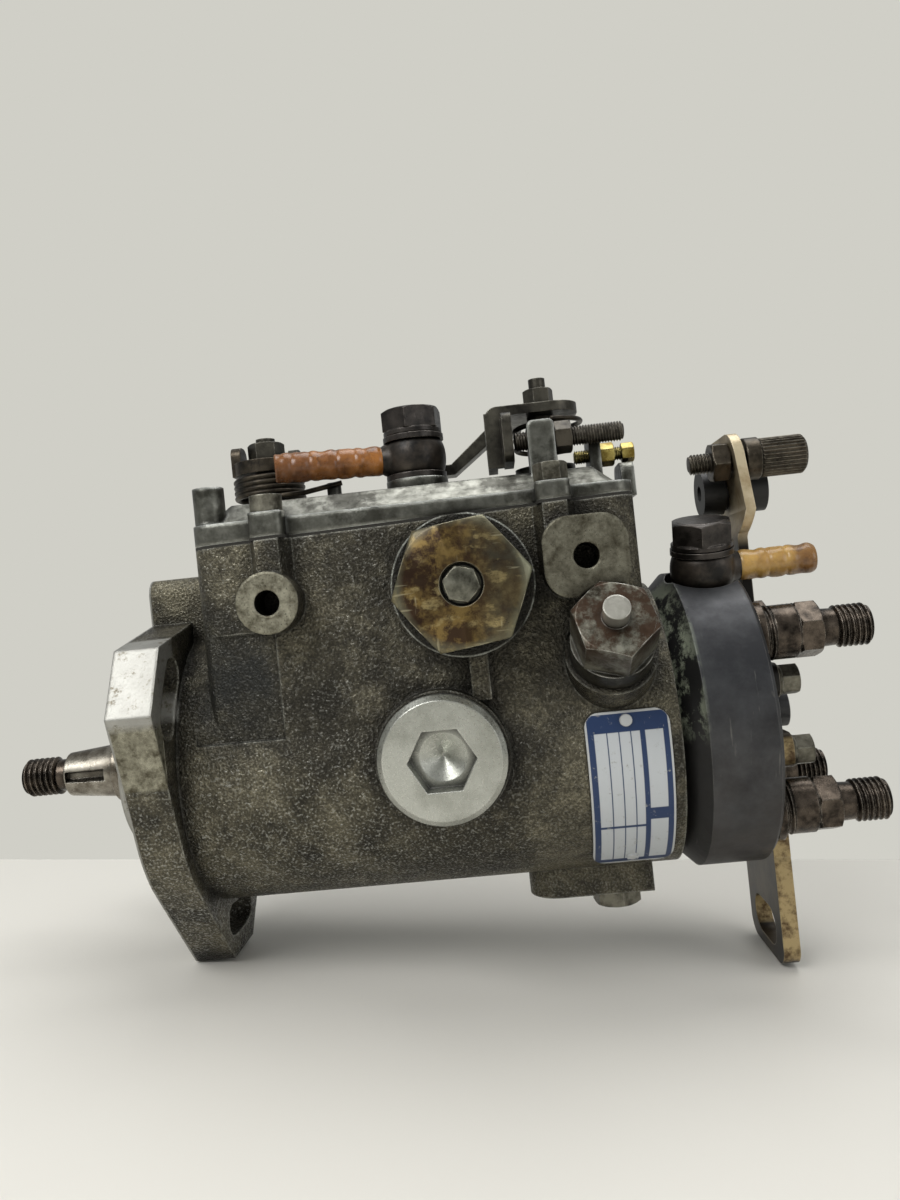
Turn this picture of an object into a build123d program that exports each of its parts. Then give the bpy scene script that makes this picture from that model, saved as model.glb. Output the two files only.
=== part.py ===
from build123d import *
import math
import os

# Rotary distributor injection pump for a four-cylinder diesel engine.
# Millimetres. X runs along the drive shaft from the thread to the outlets, Z is up,
# and the origin is on the shaft axis at the mounting face of the flange.
# The near side of the pump, with the name plate and the plugs, faces -Y.

# ---------------------------------------------------------------- clearances
RUNNING = 0.05        # radial clearance of a shaft or a piston in its bore
SLIP = 0.1            # clearance of a part that is put together by hand
APART = 0.3           # space kept between pieces that pass each other

# ---------------------------------------------------------------- housing
FLANGE_THICKNESS = 12.3
FLANGE_BODY_RADIUS = 47.0
LOBE_REACH = 59.5
LOBE_WIDTH = 20.0
LOBE_ANGLES = (30, 150, 270)
SLOT_RADIUS = 49.0
SLOT_WIDTH = 9.5
SLOT_SWEEP = 17.0
PILOT_RADIUS = 25.0
PILOT_LENGTH = 12.0

BODY_RADIUS = 42.3
BODY_END = 148.5
CHAMBER_RADIUS = 36.5
CHAMBER_START = 17.0
BOX_FRONT = 21.5
BOX_REAR = 143.0
BOX_HALF_WIDTH = 41.0
BOX_WALL = 6.0
BOX_CORNER = 6.0
BORE_FLOOR = 38.5     # height of the floor over the head bore
TOP_LUG_HALF_WIDTH = 18.0
TOP_LUG_TOP = 58.0
TOP_LUG_CORNER = 5.0
POCKET_START = 18.0   # the shallow pocket in the near wall
POCKET_END = 42.6
POCKET_BOTTOM = 10.0
POCKET_TOP = 39.4
POCKET_DEPTH = 0.8

JOINT_HEIGHT = 64.9   # cover joint at JOINT_X, and its slope towards the outlets
JOINT_X = 82.0
JOINT_SLOPE = 1.3
GASKET_THICKNESS = 0.8

# ---------------------------------------------------------------- shaft
SHAFT_THREAD_RADIUS = 6.0
SHAFT_THREAD_LENGTH = 10.5
SHAFT_TIP = -52.0
SHAFT_UNDERCUT_RADIUS = 5.0
SHAFT_UNDERCUT_LENGTH = 3.5
TAPER_SMALL_RADIUS = 6.8
TAPER_LARGE_RADIUS = 8.5
TAPER_LENGTH = 17.0
KEYWAY_WIDTH = 3.0
KEYWAY_DEPTH = 1.8
KEYWAY_LENGTH = 13.0
JOURNAL_RADIUS = 10.0
BUSH_RADIUS = 12.5
BUSH_START = -2.0
BUSH_END = 24.0
SEAL_RADIUS = 17.5
SEAL_WIDTH = 7.0
SLEEVE_SEAT_RADIUS = 7.0
SHAFT_COLLAR_START = 66.0
TANG_START = 72.0     # the tang that drives the rotor
TANG_LENGTH = 7.0
TANG_THICKNESS = 6.0

# ---------------------------------------------------------------- governor
CAGE_START = 27.0
CAGE_DISC = 3.0
CAGE_RADIUS = 33.0
CAGE_LENGTH = 20.0
WEIGHT_COUNT = 4
WEIGHT_PIVOT_X = 33.0
WEIGHT_PIVOT_RADIUS = 26.0
WEIGHT_PIN_RADIUS = 1.5
WEIGHT_WIDTH = 20.0
WEIGHT_INNER = 17.5
WEIGHT_OUTER = 30.5
WEIGHT_END = 47.0
TOE_INNER = 11.0
TOE_WIDTH = 7.0
SLEEVE_START = 48.4
SLEEVE_LENGTH = 12.0
SLEEVE_RADIUS = 10.0
SLEEVE_COLLAR_RADIUS = 16.0
SLEEVE_COLLAR = 3.0
SLEEVE_REAR_COLLAR_RADIUS = 13.5
ARM_PIVOT_X = 60.0
ARM_PIVOT_Z = 33.0
ARM_THICKNESS = 2.5
ARM_TOP = 68.0
ARM_PIN_RADIUS = 2.5
LINK_Y = 20.0
LINK_RADIUS = 1.2

# ---------------------------------------------------------------- cam and advance
CAM_X = 95.0
CAM_WIDTH = 18.0
CAM_RADIUS = 33.0
CAM_BASE_RADIUS = 23.6
CAM_LOBE_HEIGHT = 2.2
CAM_LOBES = 4
CAM_SWING = 4.0       # degrees each way from the middle
ADVANCE_Z = 46.5
ADVANCE_BORE = 11.0
ADVANCE_TUBE = 14.5
ADVANCE_PISTON_LENGTH = 34.0
CAM_BALL_RADIUS = 5.0
CAM_SHANK_RADIUS = 3.2
CAP_FLATS = 32.0
CAP_BOSS_RADIUS = 19.0
CAP_BOSS_FACE = BOX_HALF_WIDTH + 6.5
CAP_FACE = CAP_BOSS_FACE + 9.5
CAP_RECESS_RADIUS = 6.3
CAP_SCREW_FLATS = 8.5
CAP_TURN = 14.0
PLUG_BOSS_FACE = CAP_BOSS_FACE - 1.5
PLUG_FLATS = 24.0

# ---------------------------------------------------------------- hydraulic head and rotor
HEAD_RADIUS = 44.5
HEAD_END = 174.0
HEAD_SEAT = 39.3      # spot face under the inlet union
HEAD_CHAMFER = 6.5
SPIGOT_RADIUS = 33.0
SPIGOT_START = 107.0
SEAL_GROOVE_X = 143.0
ROTOR_RADIUS = 10.0
ROTOR_END = 160.0
ROTOR_HEAD_RADIUS = 16.4
ROTOR_HEAD_WIDTH = 17.0
PLUNGER_RADIUS = 3.5
SHOE_WIDTH = 12.0
ROLLER_RADIUS = 3.5
ROLLER_CENTRE = 17.2
TRANSFER_RADIUS = 16.0
OUTLET_OFFSET = 24.5  # of each outlet axis from the shaft axis, in Y and in Z
VALVE_BODY_RADIUS = 8.5
VALVE_FLATS = 14.0
VALVE_THREAD_RADIUS = 6.0
VALVE_BORE = 3.0
METERING_X = 119.0
METERING_Y = 12.0
METERING_RADIUS = 4.0
METERING_ARM = 8.0

# ---------------------------------------------------------------- plugs, bosses and brackets
CAM_PLUG_X = 85.0
CAM_PLUG_Z = 1.5
CAM_PLUG_RADIUS = 17.2
CAM_PLUG_SEAT = BODY_RADIUS + 3.7
CAM_PLUG_FACE = CAM_PLUG_SEAT + 4.0
CAM_PLUG_SOCKET = 16.0
SMALL_BOSS_X = 43.5
SMALL_BOSS_Z = 47.0
SMALL_BOSS_RADIUS = 8.3
PAD_X = 127.5
PAD_Z = 50.7
PAD_WIDTH = 21.3
PAD_HEIGHT = 22.3
PAD_CORNER = 7.0
BOSS_FACE = BOX_HALF_WIDTH + 9.0
TAPPED_RADIUS = 3.4   # M8 tapping hole
SOLENOID_X = 132.0
SOLENOID_ANGLE = 150.0
SOLENOID_SEAT = BODY_RADIUS + 7.7
SOLENOID_SPOT = 12.3
SOLENOID_FLATS = 19.5
BOLT_X = 131.0
BOLT_SEAT = BODY_RADIUS + 6.2
LOWER_BOSS_START = 104.6
LOWER_BOSS_END = 141.0
LOWER_BOSS_HALF_WIDTH = 14.0
LOWER_BOSS_CORNER = 9.0
RIB_X = 94.5
RIB_THICKNESS = 5.0
RIB_REACH = 3.5
PLATE_X = 134.2       # middle of the name plate
PLATE_Z = -14.0
PLATE_WIDTH = 22.5
PLATE_HEIGHT = 46.0
PLATE_CORNER = 4.0
PLATE_THICKNESS = 0.6
RIVET_X = 134.0
RIVET_ZS = (6.5, -34.0)
END_PLATE_RADIUS = 25.0
END_SCREW_CIRCLE = 20.5
END_SCREW_ANGLES = (30, 150, 210, 330)
END_SCREW_DEPTH = 8.0
END_WASHER_RADIUS = 4.4
END_PLATE_THICKNESS = 4.0
BRACKET_BOTTOM = -77.6
BRACKET_THICKNESS = 5.0
CABLE_PLATE_THICKNESS = 3.0
CLAMP_Y = -1.0
CLAMP_Z = 76.8
GROMMET_Y = 13.0
GROMMET_Z = 69.0

# ---------------------------------------------------------------- cover and controls
COVER_FLANGE_TOP = 70.2
RIM_WIDTH = 3.2
DOME_HEIGHT = 5.7
DOME_TAPER = 50.0     # slope of its shoulders, in degrees from upright
COVER_INSIDE_TOP = 72.6
STOP_X = 35.5
STOP_Y = 0.0
THROTTLE_X = 122.0
THROTTLE_Y = -10.0
LEVER_Z = 95.0        # underside of the throttle lever's plate
LEVER_THICKNESS = 2.8
LEVER_WIDTH = 19.0
LEVER_REACH = 17.0
LEVER_BOTTOM = 80.0
TAB_REACH = 9.5
CABLE_HOLE_X = 88.0
CABLE_HOLE_Y = 20.0
CABLE_HOLE_RADIUS = 2.5
RETURN_X = 83.0
RETURN_Y = -8.0
STOP_DISC_Z = 88.3
STOP_DISC_RADIUS = 10.5
CONTROL_SHAFT_RADIUS = 4.0
INLET_X = 165.0
INLET_ANGLE = 105.0
BANJO_FLATS = 17.0
HOSE_RADIUS = 4.2
HOSE_BORE = 2.4
SCREW_RADIUS = 2.5
COVER_SCREW_XS = (44.0, 121.0)
EAR_REACH = 4.6
PILLAR_ROOT = 7.0     # half widths of a screw pillar at the wall and at its face
PILLAR_FACE = 3.2
COVER_SCREW_Y = BOX_HALF_WIDTH + 1.0
COVER_SCREW_END = 54.0
COVER_SCREW_SEAT = 71.5
CORNER_POST_RADIUS = 4.3
CORNER_POST_TOP = 80.6
STOP_SPRING_PIN = (57.0, -6.5)
FAR_PIN = (84.0, 24.0)
REAR_POST_TOP = 77.0
RETURN_SEAT = 80.5    # height of the face under the return union
EYE_RADIUS = 10.2
EYE_NECK = 8.6
EYE_HEIGHT = 10.0
BANJO_WASHER = 1.7
BANJO_BOLT_RADIUS = 5.0
TOWER_X = 124.0       # rear face of the lug that carries the speed screw
TOWER_LENGTH = 7.5
TOWER_TOP = 90.2
TOWER_Y = -28.0
SPEED_SCREW_Z = 85.3
IDLE_SCREW_Y = -18.0
IDLE_SCREW_Z = 80.5
IDLE_LUG_X = 137.2


# ---------------------------------------------------------------- helpers
X_AXIS = Vector(1, 0, 0)
Y_AXIS = Vector(0, 1, 0)
Z_AXIS = Vector(0, 0, 1)
JOINT_PLANE = Plane(
    origin=(JOINT_X, 0, JOINT_HEIGHT),
    z_dir=(-math.sin(math.radians(JOINT_SLOPE)), 0, math.cos(math.radians(JOINT_SLOPE))),
)


def facing(at, toward):
    """A plane at a point, with its normal along a direction."""
    return Plane(origin=at, z_dir=toward)


def rod(at, toward, radius, length):
    """A round bar that starts at a point and runs along a direction."""
    return extrude(facing(at, toward) * Circle(radius), length)


def tube(at, toward, outer, inner, length):
    """A round bar with a hole through it."""
    return rod(at, toward, outer, length) - rod(at, toward, inner, length)


def turned(at, toward, *steps):
    """Round steps end to end, each given as (radius, length)."""
    plane = facing(at, toward)
    start = 0
    body = None
    for radius, length in steps:
        step = extrude(plane.offset(start) * Circle(radius), length)
        body = step if body is None else body + step
        start += length
    return body


def hexagon(at, toward, flats, length, turn=0):
    """A hexagonal bar, measured across its flats."""
    outline = RegularPolygon(flats / 2, 6, major_radius=False, rotation=turn)
    return extrude(facing(at, toward) * outline, length)


def hex_head(at, toward, flats, height, turn=0):
    """A hexagon whose outer corners are turned off at 30 degrees, as on a bolt head."""
    corner = flats / math.sqrt(3)
    cut = (corner - flats / 2) * 0.95
    foot = corner + height / math.tan(math.radians(30))
    cone = Cone(foot, corner - cut, height, align=(Align.CENTER, Align.CENTER, Align.MAX))
    blank = Cylinder(corner, height) & Pos(0, 0, height / 2) * cone
    prism = extrude(RegularPolygon(flats / 2, 6, major_radius=False, rotation=turn), height)
    return facing(at, toward) * (Pos(0, 0, height / 2) * blank & prism)


def block(x0, x1, y0, y1, z0, z1):
    """A box between two corners."""
    centre = Pos((x0 + x1) / 2, (y0 + y1) / 2, (z0 + z1) / 2)
    return centre * Box(abs(x1 - x0), abs(y1 - y0), abs(z1 - z0))


def radial(angle, distance, x):
    """The point at a distance from the shaft axis, at an angle from +Y towards +Z."""
    turn = math.radians(angle)
    return Vector(x, distance * math.cos(turn), distance * math.sin(turn))


def around(angle, body):
    """A body turned about the shaft axis."""
    return Rot(angle, 0, 0) * body


def coil(at, toward, radius, pitch, turns, wire):
    """A helical spring of round wire."""
    path = Helix(pitch, pitch * turns, radius)
    section = Plane(origin=path @ 0, z_dir=path % 0) * Circle(wire)
    return facing(at, toward) * sweep(section, path)


def rounded_prism(x0, x1, half_width, corner, z0, z1):
    """A prism with a rounded rectangular outline, standing on Z."""
    outline = Pos((x0 + x1) / 2, 0) * RectangleRounded(x1 - x0, 2 * half_width, corner)
    return extrude(Plane.XY.offset(z0) * outline, z1 - z0)


def near_side(x, z, y=0):
    """A point on the near side, at a distance from the shaft axis."""
    return (x, -y, z)


# ---------------------------------------------------------------- pump housing
def flange_outline():
    """A round body and three flat-ended lobes, joined by straight flanks."""
    edges = Circle(FLANGE_BODY_RADIUS).edges()
    for angle in LOBE_ANGLES:
        end = Rot(0, 0, angle) * Pos(LOBE_REACH - 1, 0) * Rectangle(2, LOBE_WIDTH)
        edges += end.edges()
    return make_hull(edges)


def flange_slots():
    slots = []
    for angle in LOBE_ANGLES:
        arc = CenterArc((0, 0), SLOT_RADIUS, angle - SLOT_SWEEP / 2, SLOT_SWEEP)
        slots.append(SlotArc(arc, SLOT_WIDTH))
    return slots


def housing_shell():
    """The outside of the casting, with the flange, before it is bored."""
    section = Plane(origin=(0, 0, 0), x_dir=(0, 1, 0), z_dir=(1, 0, 0))
    shell = extrude(section * flange_outline(), FLANGE_THICKNESS)
    for slot in flange_slots():
        shell -= extrude(section * slot, FLANGE_THICKNESS)
    shell += rod((-PILOT_LENGTH, 0, 0), X_AXIS, PILOT_RADIUS, PILOT_LENGTH)
    shell += rod((FLANGE_THICKNESS, 0, 0), X_AXIS, BODY_RADIUS, BODY_END - FLANGE_THICKNESS)
    top_lug = block(0, BOX_FRONT + 2, -TOP_LUG_HALF_WIDTH, TOP_LUG_HALF_WIDTH, 30, TOP_LUG_TOP)
    shell += fillet(top_lug.edges().filter_by(Axis.X).group_by(Axis.Z)[-1], TOP_LUG_CORNER)
    box = rounded_prism(BOX_FRONT, BOX_REAR, BOX_HALF_WIDTH, BOX_CORNER, 0, 80)
    return shell + box


def housing_bosses():
    """Everything that stands out from the walls."""
    inner = BOX_HALF_WIDTH - BOX_WALL / 2
    bosses = rod(near_side(CAM_X, ADVANCE_Z, inner), -Y_AXIS, CAP_BOSS_RADIUS, CAP_BOSS_FACE - inner)
    bosses += rod(near_side(CAM_PLUG_X, CAM_PLUG_Z, 30), -Y_AXIS, CAM_PLUG_RADIUS + 0.8, CAM_PLUG_SEAT - 30)
    boss_length = BOSS_FACE - inner
    bosses += rod(near_side(SMALL_BOSS_X, SMALL_BOSS_Z, inner), -Y_AXIS, SMALL_BOSS_RADIUS, boss_length)
    pad_outline = RectangleRounded(PAD_WIDTH, PAD_HEIGHT, PAD_CORNER)
    bosses += extrude(facing(near_side(PAD_X, PAD_Z, inner), -Y_AXIS) * pad_outline, boss_length)
    solenoid_axis = radial(SOLENOID_ANGLE, 1, 0)
    solenoid_root = radial(SOLENOID_ANGLE, inner, SOLENOID_X)
    bosses += rod(solenoid_root, solenoid_axis, SOLENOID_SPOT, SOLENOID_SEAT - inner)
    bosses += rod((CAM_X, inner, ADVANCE_Z), Y_AXIS, ADVANCE_TUBE + 1.5, PLUG_BOSS_FACE - inner)
    rib_foot = CAM_PLUG_Z + CAM_PLUG_RADIUS - 3
    rib_top = ADVANCE_Z - CAP_BOSS_RADIUS + 2
    bosses += block(RIB_X, RIB_X + RIB_THICKNESS, -BOX_HALF_WIDTH - RIB_REACH, -inner, rib_foot, rib_top)
    lower = block(LOWER_BOSS_START, LOWER_BOSS_END, -LOWER_BOSS_HALF_WIDTH, LOWER_BOSS_HALF_WIDTH,
                  -BOLT_SEAT, -30)
    bosses += fillet(lower.edges().filter_by(Axis.Z).group_by(Axis.X)[0], LOWER_BOSS_CORNER)
    for x in COVER_SCREW_XS:
        for side in (-1, 1):
            outer = side * (COVER_SCREW_Y + EAR_REACH)
            plan = make_face(Polyline((x - PILLAR_ROOT, side * inner), (x + PILLAR_ROOT, side * inner),
                                      (x + PILLAR_FACE, outer), (x - PILLAR_FACE, outer), close=True))
            bosses += extrude(Plane.XY.offset(SMALL_BOSS_Z) * plan, 80 - SMALL_BOSS_Z)
    return bosses


def housing_bores():
    """What is machined or cored out of the casting."""
    bores = rod((-PILOT_LENGTH, 0, 0), X_AXIS, SEAL_RADIUS, SEAL_WIDTH + 2)
    bores += rod((-PILOT_LENGTH, 0, 0), X_AXIS, BUSH_RADIUS, 40)
    chamber = rod((CHAMBER_START, 0, 0), X_AXIS, CHAMBER_RADIUS, CAM_X - CAM_WIDTH / 2 - CHAMBER_START)
    chamber -= rod((CHAMBER_START, 0, 0), X_AXIS, BUSH_RADIUS + 5, BUSH_END - CHAMBER_START)
    bores += chamber
    bores += rod((CAM_X - CAM_WIDTH / 2 - 1, 0, 0), X_AXIS, CAM_RADIUS + RUNNING, BODY_END)
    inside = BOX_HALF_WIDTH - BOX_WALL
    cam_start = CAM_X - CAM_WIDTH / 2 - 3
    bores += block(BOX_FRONT + BOX_WALL, cam_start, -inside, inside, 0, 90)
    bores += block(cam_start - 1, BOX_REAR - BOX_WALL, -inside, inside, BORE_FLOOR, 90)
    return bores


def pump_housing():
    body = housing_shell() + housing_bosses() - housing_bores()
    length = 2 * BOX_HALF_WIDTH
    advance_tube = rod((CAM_X, -BOX_HALF_WIDTH, ADVANCE_Z), Y_AXIS, ADVANCE_TUBE, length)
    floor = block(CAM_X - ADVANCE_TUBE, CAM_X + ADVANCE_TUBE, -30, 30, CAM_RADIUS + 3, ADVANCE_Z)
    body += advance_tube + floor - rod((CAM_X - 30, 0, 0), X_AXIS, CAM_RADIUS + RUNNING, 60)
    body -= rod((CAM_X, -CAP_FACE, ADVANCE_Z), Y_AXIS, ADVANCE_BORE + RUNNING, 2 * CAP_FACE)
    reach = (ADVANCE_Z * math.sin(math.radians(CAM_SWING))) + CAM_SHANK_RADIUS + 1.5
    body -= block(CAM_X - 4.5, CAM_X + 4.5, -reach, reach, CAM_RADIUS - 4, ADVANCE_Z)
    body -= block(POCKET_START, POCKET_END, -BOX_HALF_WIDTH - 5, -BOX_HALF_WIDTH + POCKET_DEPTH,
                  POCKET_BOTTOM, POCKET_TOP)
    body -= rod(near_side(CAM_PLUG_X, CAM_PLUG_Z, 60), Y_AXIS, CAM_PLUG_RADIUS - 3, 40)
    body -= rod(near_side(SMALL_BOSS_X, SMALL_BOSS_Z, BOSS_FACE), Y_AXIS, TAPPED_RADIUS, 11)
    body -= rod(near_side(PAD_X, PAD_Z, BOSS_FACE), Y_AXIS, TAPPED_RADIUS, 11)
    solenoid_axis = radial(SOLENOID_ANGLE, 1, 0)
    body -= rod(radial(SOLENOID_ANGLE, SOLENOID_SEAT, SOLENOID_X), solenoid_axis, SOLENOID_SPOT, 20)
    body -= rod(radial(SOLENOID_ANGLE, SPIGOT_RADIUS - 2, SOLENOID_X), solenoid_axis, 6, 40)
    body -= rod((BOLT_X, 0, -BOLT_SEAT), Z_AXIS, 4, 30)
    body -= rod((METERING_X, METERING_Y, SPIGOT_RADIUS - 5), Z_AXIS, 6, 20)
    for x in COVER_SCREW_XS:
        for side in (-1, 1):
            body -= rod((x, side * COVER_SCREW_Y, COVER_SCREW_END - 2), Z_AXIS, SCREW_RADIUS, 30)
    for side in (-1, 1):
        body -= rod((ARM_PIVOT_X, side * (BOX_HALF_WIDTH - BOX_WALL - 1), ARM_PIVOT_Z),
                    side * Y_AXIS, ARM_PIN_RADIUS + RUNNING, 4)
    return split(body, bisect_by=JOINT_PLANE, keep=Keep.BOTTOM)


# ---------------------------------------------------------------- cover
def cover_screw_places():
    return [(x, side * COVER_SCREW_Y) for x in COVER_SCREW_XS for side in (-1, 1)]


def cover_ears(z0, z1):
    """The four bosses that the cover screws pass through."""
    ears = []
    for x, y in cover_screw_places():
        ear = block(x - EAR_REACH, x + EAR_REACH, y - EAR_REACH, y + EAR_REACH, z0, z1)
        ears.append(fillet(ear.edges().filter_by(Axis.Z), 2))
    return ears


def cover_gasket():
    """A sheet in the shape of the joint, cut from a column by the planes of its two faces."""
    sheet = rounded_prism(BOX_FRONT, BOX_REAR, BOX_HALF_WIDTH, BOX_CORNER, 55, 75)
    for ear in cover_ears(55, 75):
        sheet += ear
    sheet -= rounded_prism(BOX_FRONT + BOX_WALL, BOX_REAR - BOX_WALL, BOX_HALF_WIDTH - BOX_WALL,
                           BOX_CORNER - 2, 55, 75)
    for x, y in cover_screw_places():
        sheet -= rod((x, y, 55), Z_AXIS, SCREW_RADIUS + SLIP, 20)
    sheet = split(sheet, bisect_by=JOINT_PLANE, keep=Keep.TOP)
    return split(sheet, bisect_by=JOINT_PLANE.offset(GASKET_THICKNESS), keep=Keep.BOTTOM)


def governor_cover():
    top = COVER_FLANGE_TOP
    body = rounded_prism(BOX_FRONT, BOX_REAR, BOX_HALF_WIDTH, BOX_CORNER, 60, top)
    dome_outline = Pos((BOX_FRONT + BOX_REAR) / 2, 0) * RectangleRounded(
        BOX_REAR - BOX_FRONT - 2 * RIM_WIDTH, 2 * (BOX_HALF_WIDTH - RIM_WIDTH), BOX_CORNER)
    dome = extrude(Plane.XY.offset(top) * dome_outline, DOME_HEIGHT, taper=DOME_TAPER)
    body += dome
    for ear in cover_ears(60, COVER_SCREW_SEAT):
        body += ear
    corner_post = (BOX_FRONT + 5, -BOX_HALF_WIDTH + 5.5, 62)
    body += rod(corner_post, Z_AXIS, CORNER_POST_RADIUS, CORNER_POST_TOP - 62)
    body += turned((STOP_X, STOP_Y, top), Z_AXIS, (8, 7.5))
    body += turned((THROTTLE_X, THROTTLE_Y, top), Z_AXIS, (9, 9.5))
    body += turned((RETURN_X, RETURN_Y, top), Z_AXIS, (9.4, RETURN_SEAT - top))
    tower = block(TOWER_X - TOWER_LENGTH, TOWER_X, TOWER_Y - 4.5, TOWER_Y + 4, top - 3, TOWER_TOP)
    body += fillet(tower.edges().filter_by(Axis.Y).group_by(Axis.Z)[-1], 1.5)
    body += block(IDLE_LUG_X - 3.2, IDLE_LUG_X, IDLE_SCREW_Y - 6, IDLE_SCREW_Y + 6,
                  top - 3, IDLE_SCREW_Z + 5)
    rear_post = block(BOX_REAR - 1, BOX_REAR + 2.8, -26, -12, 66, REAR_POST_TOP)
    body += fillet(rear_post.edges().filter_by(Axis.X).group_by(Axis.Z)[-1], 3)
    for (x, y), radius, height in ((STOP_SPRING_PIN, 2.2, 12.5), (FAR_PIN, 2.5, 9.5)):
        body += turned((x, y, top), Z_AXIS, (radius, height))
    inside = rounded_prism(BOX_FRONT + BOX_WALL, BOX_REAR - BOX_WALL, BOX_HALF_WIDTH - BOX_WALL - 1,
                           BOX_CORNER - 2, 55, COVER_INSIDE_TOP)
    body -= inside
    for x, y in ((STOP_X, STOP_Y), (THROTTLE_X, THROTTLE_Y)):
        body -= rod((x, y, 60), Z_AXIS, CONTROL_SHAFT_RADIUS + RUNNING, 40)
    body -= rod((RETURN_X, RETURN_Y, 60), Z_AXIS, BANJO_BOLT_RADIUS, 40)
    body -= rod((100, TOWER_Y, SPEED_SCREW_Z), X_AXIS, SCREW_RADIUS, 40)
    body -= rod((130, IDLE_SCREW_Y, IDLE_SCREW_Z), X_AXIS, 2, 10)
    for x, y in cover_screw_places():
        body -= rod((x, y, 55), Z_AXIS, SCREW_RADIUS + SLIP, 40)
    return split(body, bisect_by=JOINT_PLANE.offset(GASKET_THICKNESS), keep=Keep.TOP)


def cover_screws():
    screws = []
    for x, y in cover_screw_places():
        shank = rod((x, y, COVER_SCREW_END), Z_AXIS, SCREW_RADIUS, COVER_SCREW_SEAT - COVER_SCREW_END)
        if x == COVER_SCREW_XS[0]:
            head = rod((x, y, COVER_SCREW_SEAT), Z_AXIS, 4.4, 4.6)
            head -= hexagon((x, y, COVER_SCREW_SEAT + 2), Z_AXIS, 4, 4)
        else:
            head = hex_head((x, y, COVER_SCREW_SEAT), Z_AXIS, 8, 5)
        screws.append(shank + head)
    return screws


# ---------------------------------------------------------------- drive shaft, bush and seal
def drive_shaft():
    taper_start = SHAFT_TIP + SHAFT_THREAD_LENGTH + SHAFT_UNDERCUT_LENGTH
    thread = rod((SHAFT_TIP, 0, 0), X_AXIS, SHAFT_THREAD_RADIUS, SHAFT_THREAD_LENGTH)
    thread = chamfer(thread.edges().sort_by(Axis.X)[0], 1)
    shaft = thread + rod((SHAFT_TIP + SHAFT_THREAD_LENGTH, 0, 0), X_AXIS, SHAFT_UNDERCUT_RADIUS,
                         SHAFT_UNDERCUT_LENGTH)
    taper = facing((taper_start, 0, 0), X_AXIS) * Pos(0, 0, TAPER_LENGTH / 2) * Cone(
        TAPER_SMALL_RADIUS, TAPER_LARGE_RADIUS, TAPER_LENGTH)
    shaft += taper
    journal_start = taper_start + TAPER_LENGTH
    shaft += rod((journal_start, 0, 0), X_AXIS, JOURNAL_RADIUS, CAGE_START + CAGE_DISC - journal_start)
    shaft += rod((BUSH_END + APART, 0, 0), X_AXIS, BUSH_RADIUS - 1, CAGE_START - BUSH_END - APART)
    shaft += rod((CAGE_START, 0, 0), X_AXIS, SLEEVE_SEAT_RADIUS, SHAFT_COLLAR_START - CAGE_START)
    shaft += rod((SHAFT_COLLAR_START, 0, 0), X_AXIS, JOURNAL_RADIUS - 1, TANG_START - SHAFT_COLLAR_START)
    shaft += block(TANG_START, TANG_START + TANG_LENGTH, -7.5, 7.5, -TANG_THICKNESS / 2, TANG_THICKNESS / 2)
    keyway_floor = TAPER_SMALL_RADIUS - KEYWAY_DEPTH
    keyway = block(taper_start + 1, taper_start + 1 + KEYWAY_LENGTH, -12, -keyway_floor,
                   -KEYWAY_WIDTH / 2, KEYWAY_WIDTH / 2)
    return shaft - keyway


def shaft_bush():
    return tube((BUSH_START, 0, 0), X_AXIS, BUSH_RADIUS, JOURNAL_RADIUS + RUNNING, BUSH_END - BUSH_START)


def seals():
    """The shaft lip seal in the pilot and the ring in the groove of the head."""
    lip = tube((2 - PILOT_LENGTH - 0.5, 0, 0), X_AXIS, SEAL_RADIUS, JOURNAL_RADIUS + RUNNING, SEAL_WIDTH)
    dish = rod((2 - PILOT_LENGTH - 0.5, 0, 0), X_AXIS, SEAL_RADIUS - 2.5, 1.5)
    dish -= rod((2 - PILOT_LENGTH - 0.5, 0, 0), X_AXIS, JOURNAL_RADIUS + 1.5, 1.5)
    ring = facing((SEAL_GROOVE_X, 0, 0), X_AXIS) * Torus(SPIGOT_RADIUS - 1.2, 1.15)
    return [lip - dish, ring]


# ---------------------------------------------------------------- governor
def flyweight_cage():
    cage = rod((CAGE_START, 0, 0), X_AXIS, CAGE_RADIUS, CAGE_LENGTH)
    cage -= rod((CAGE_START + CAGE_DISC, 0, 0), X_AXIS, 18, CAGE_LENGTH)
    half = WEIGHT_WIDTH / 2 + APART
    end = CAGE_START + CAGE_LENGTH
    cage -= block(CAGE_START + CAGE_DISC, end, -half, half, -40, 40)
    cage -= block(CAGE_START + CAGE_DISC, end, -40, 40, -half, half)
    for index in range(WEIGHT_COUNT):
        pin = rod((WEIGHT_PIVOT_X, -half - 3, WEIGHT_PIVOT_RADIUS), Y_AXIS, WEIGHT_PIN_RADIUS, 2 * half + 6)
        cage += around(index * 360 / WEIGHT_COUNT, pin)
    return cage - rod((CAGE_START, 0, 0), X_AXIS, JOURNAL_RADIUS, CAGE_DISC)


def flyweight(index):
    half = WEIGHT_WIDTH / 2
    weight = block(WEIGHT_PIVOT_X - 1.7, WEIGHT_END, -half, half, WEIGHT_INNER, WEIGHT_OUTER)
    weight = fillet(weight.edges().filter_by(Axis.Y).group_by(Axis.X)[-1], 2)
    toe_end = SLEEVE_START - APART
    weight += block(WEIGHT_END - 6, toe_end, -TOE_WIDTH / 2, TOE_WIDTH / 2, TOE_INNER, WEIGHT_INNER + 3)
    pivot = (WEIGHT_PIVOT_X, -half, WEIGHT_PIVOT_RADIUS)
    weight -= rod(pivot, Y_AXIS, WEIGHT_PIN_RADIUS + RUNNING, WEIGHT_WIDTH)
    return around(index * 360 / WEIGHT_COUNT, weight)


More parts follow.
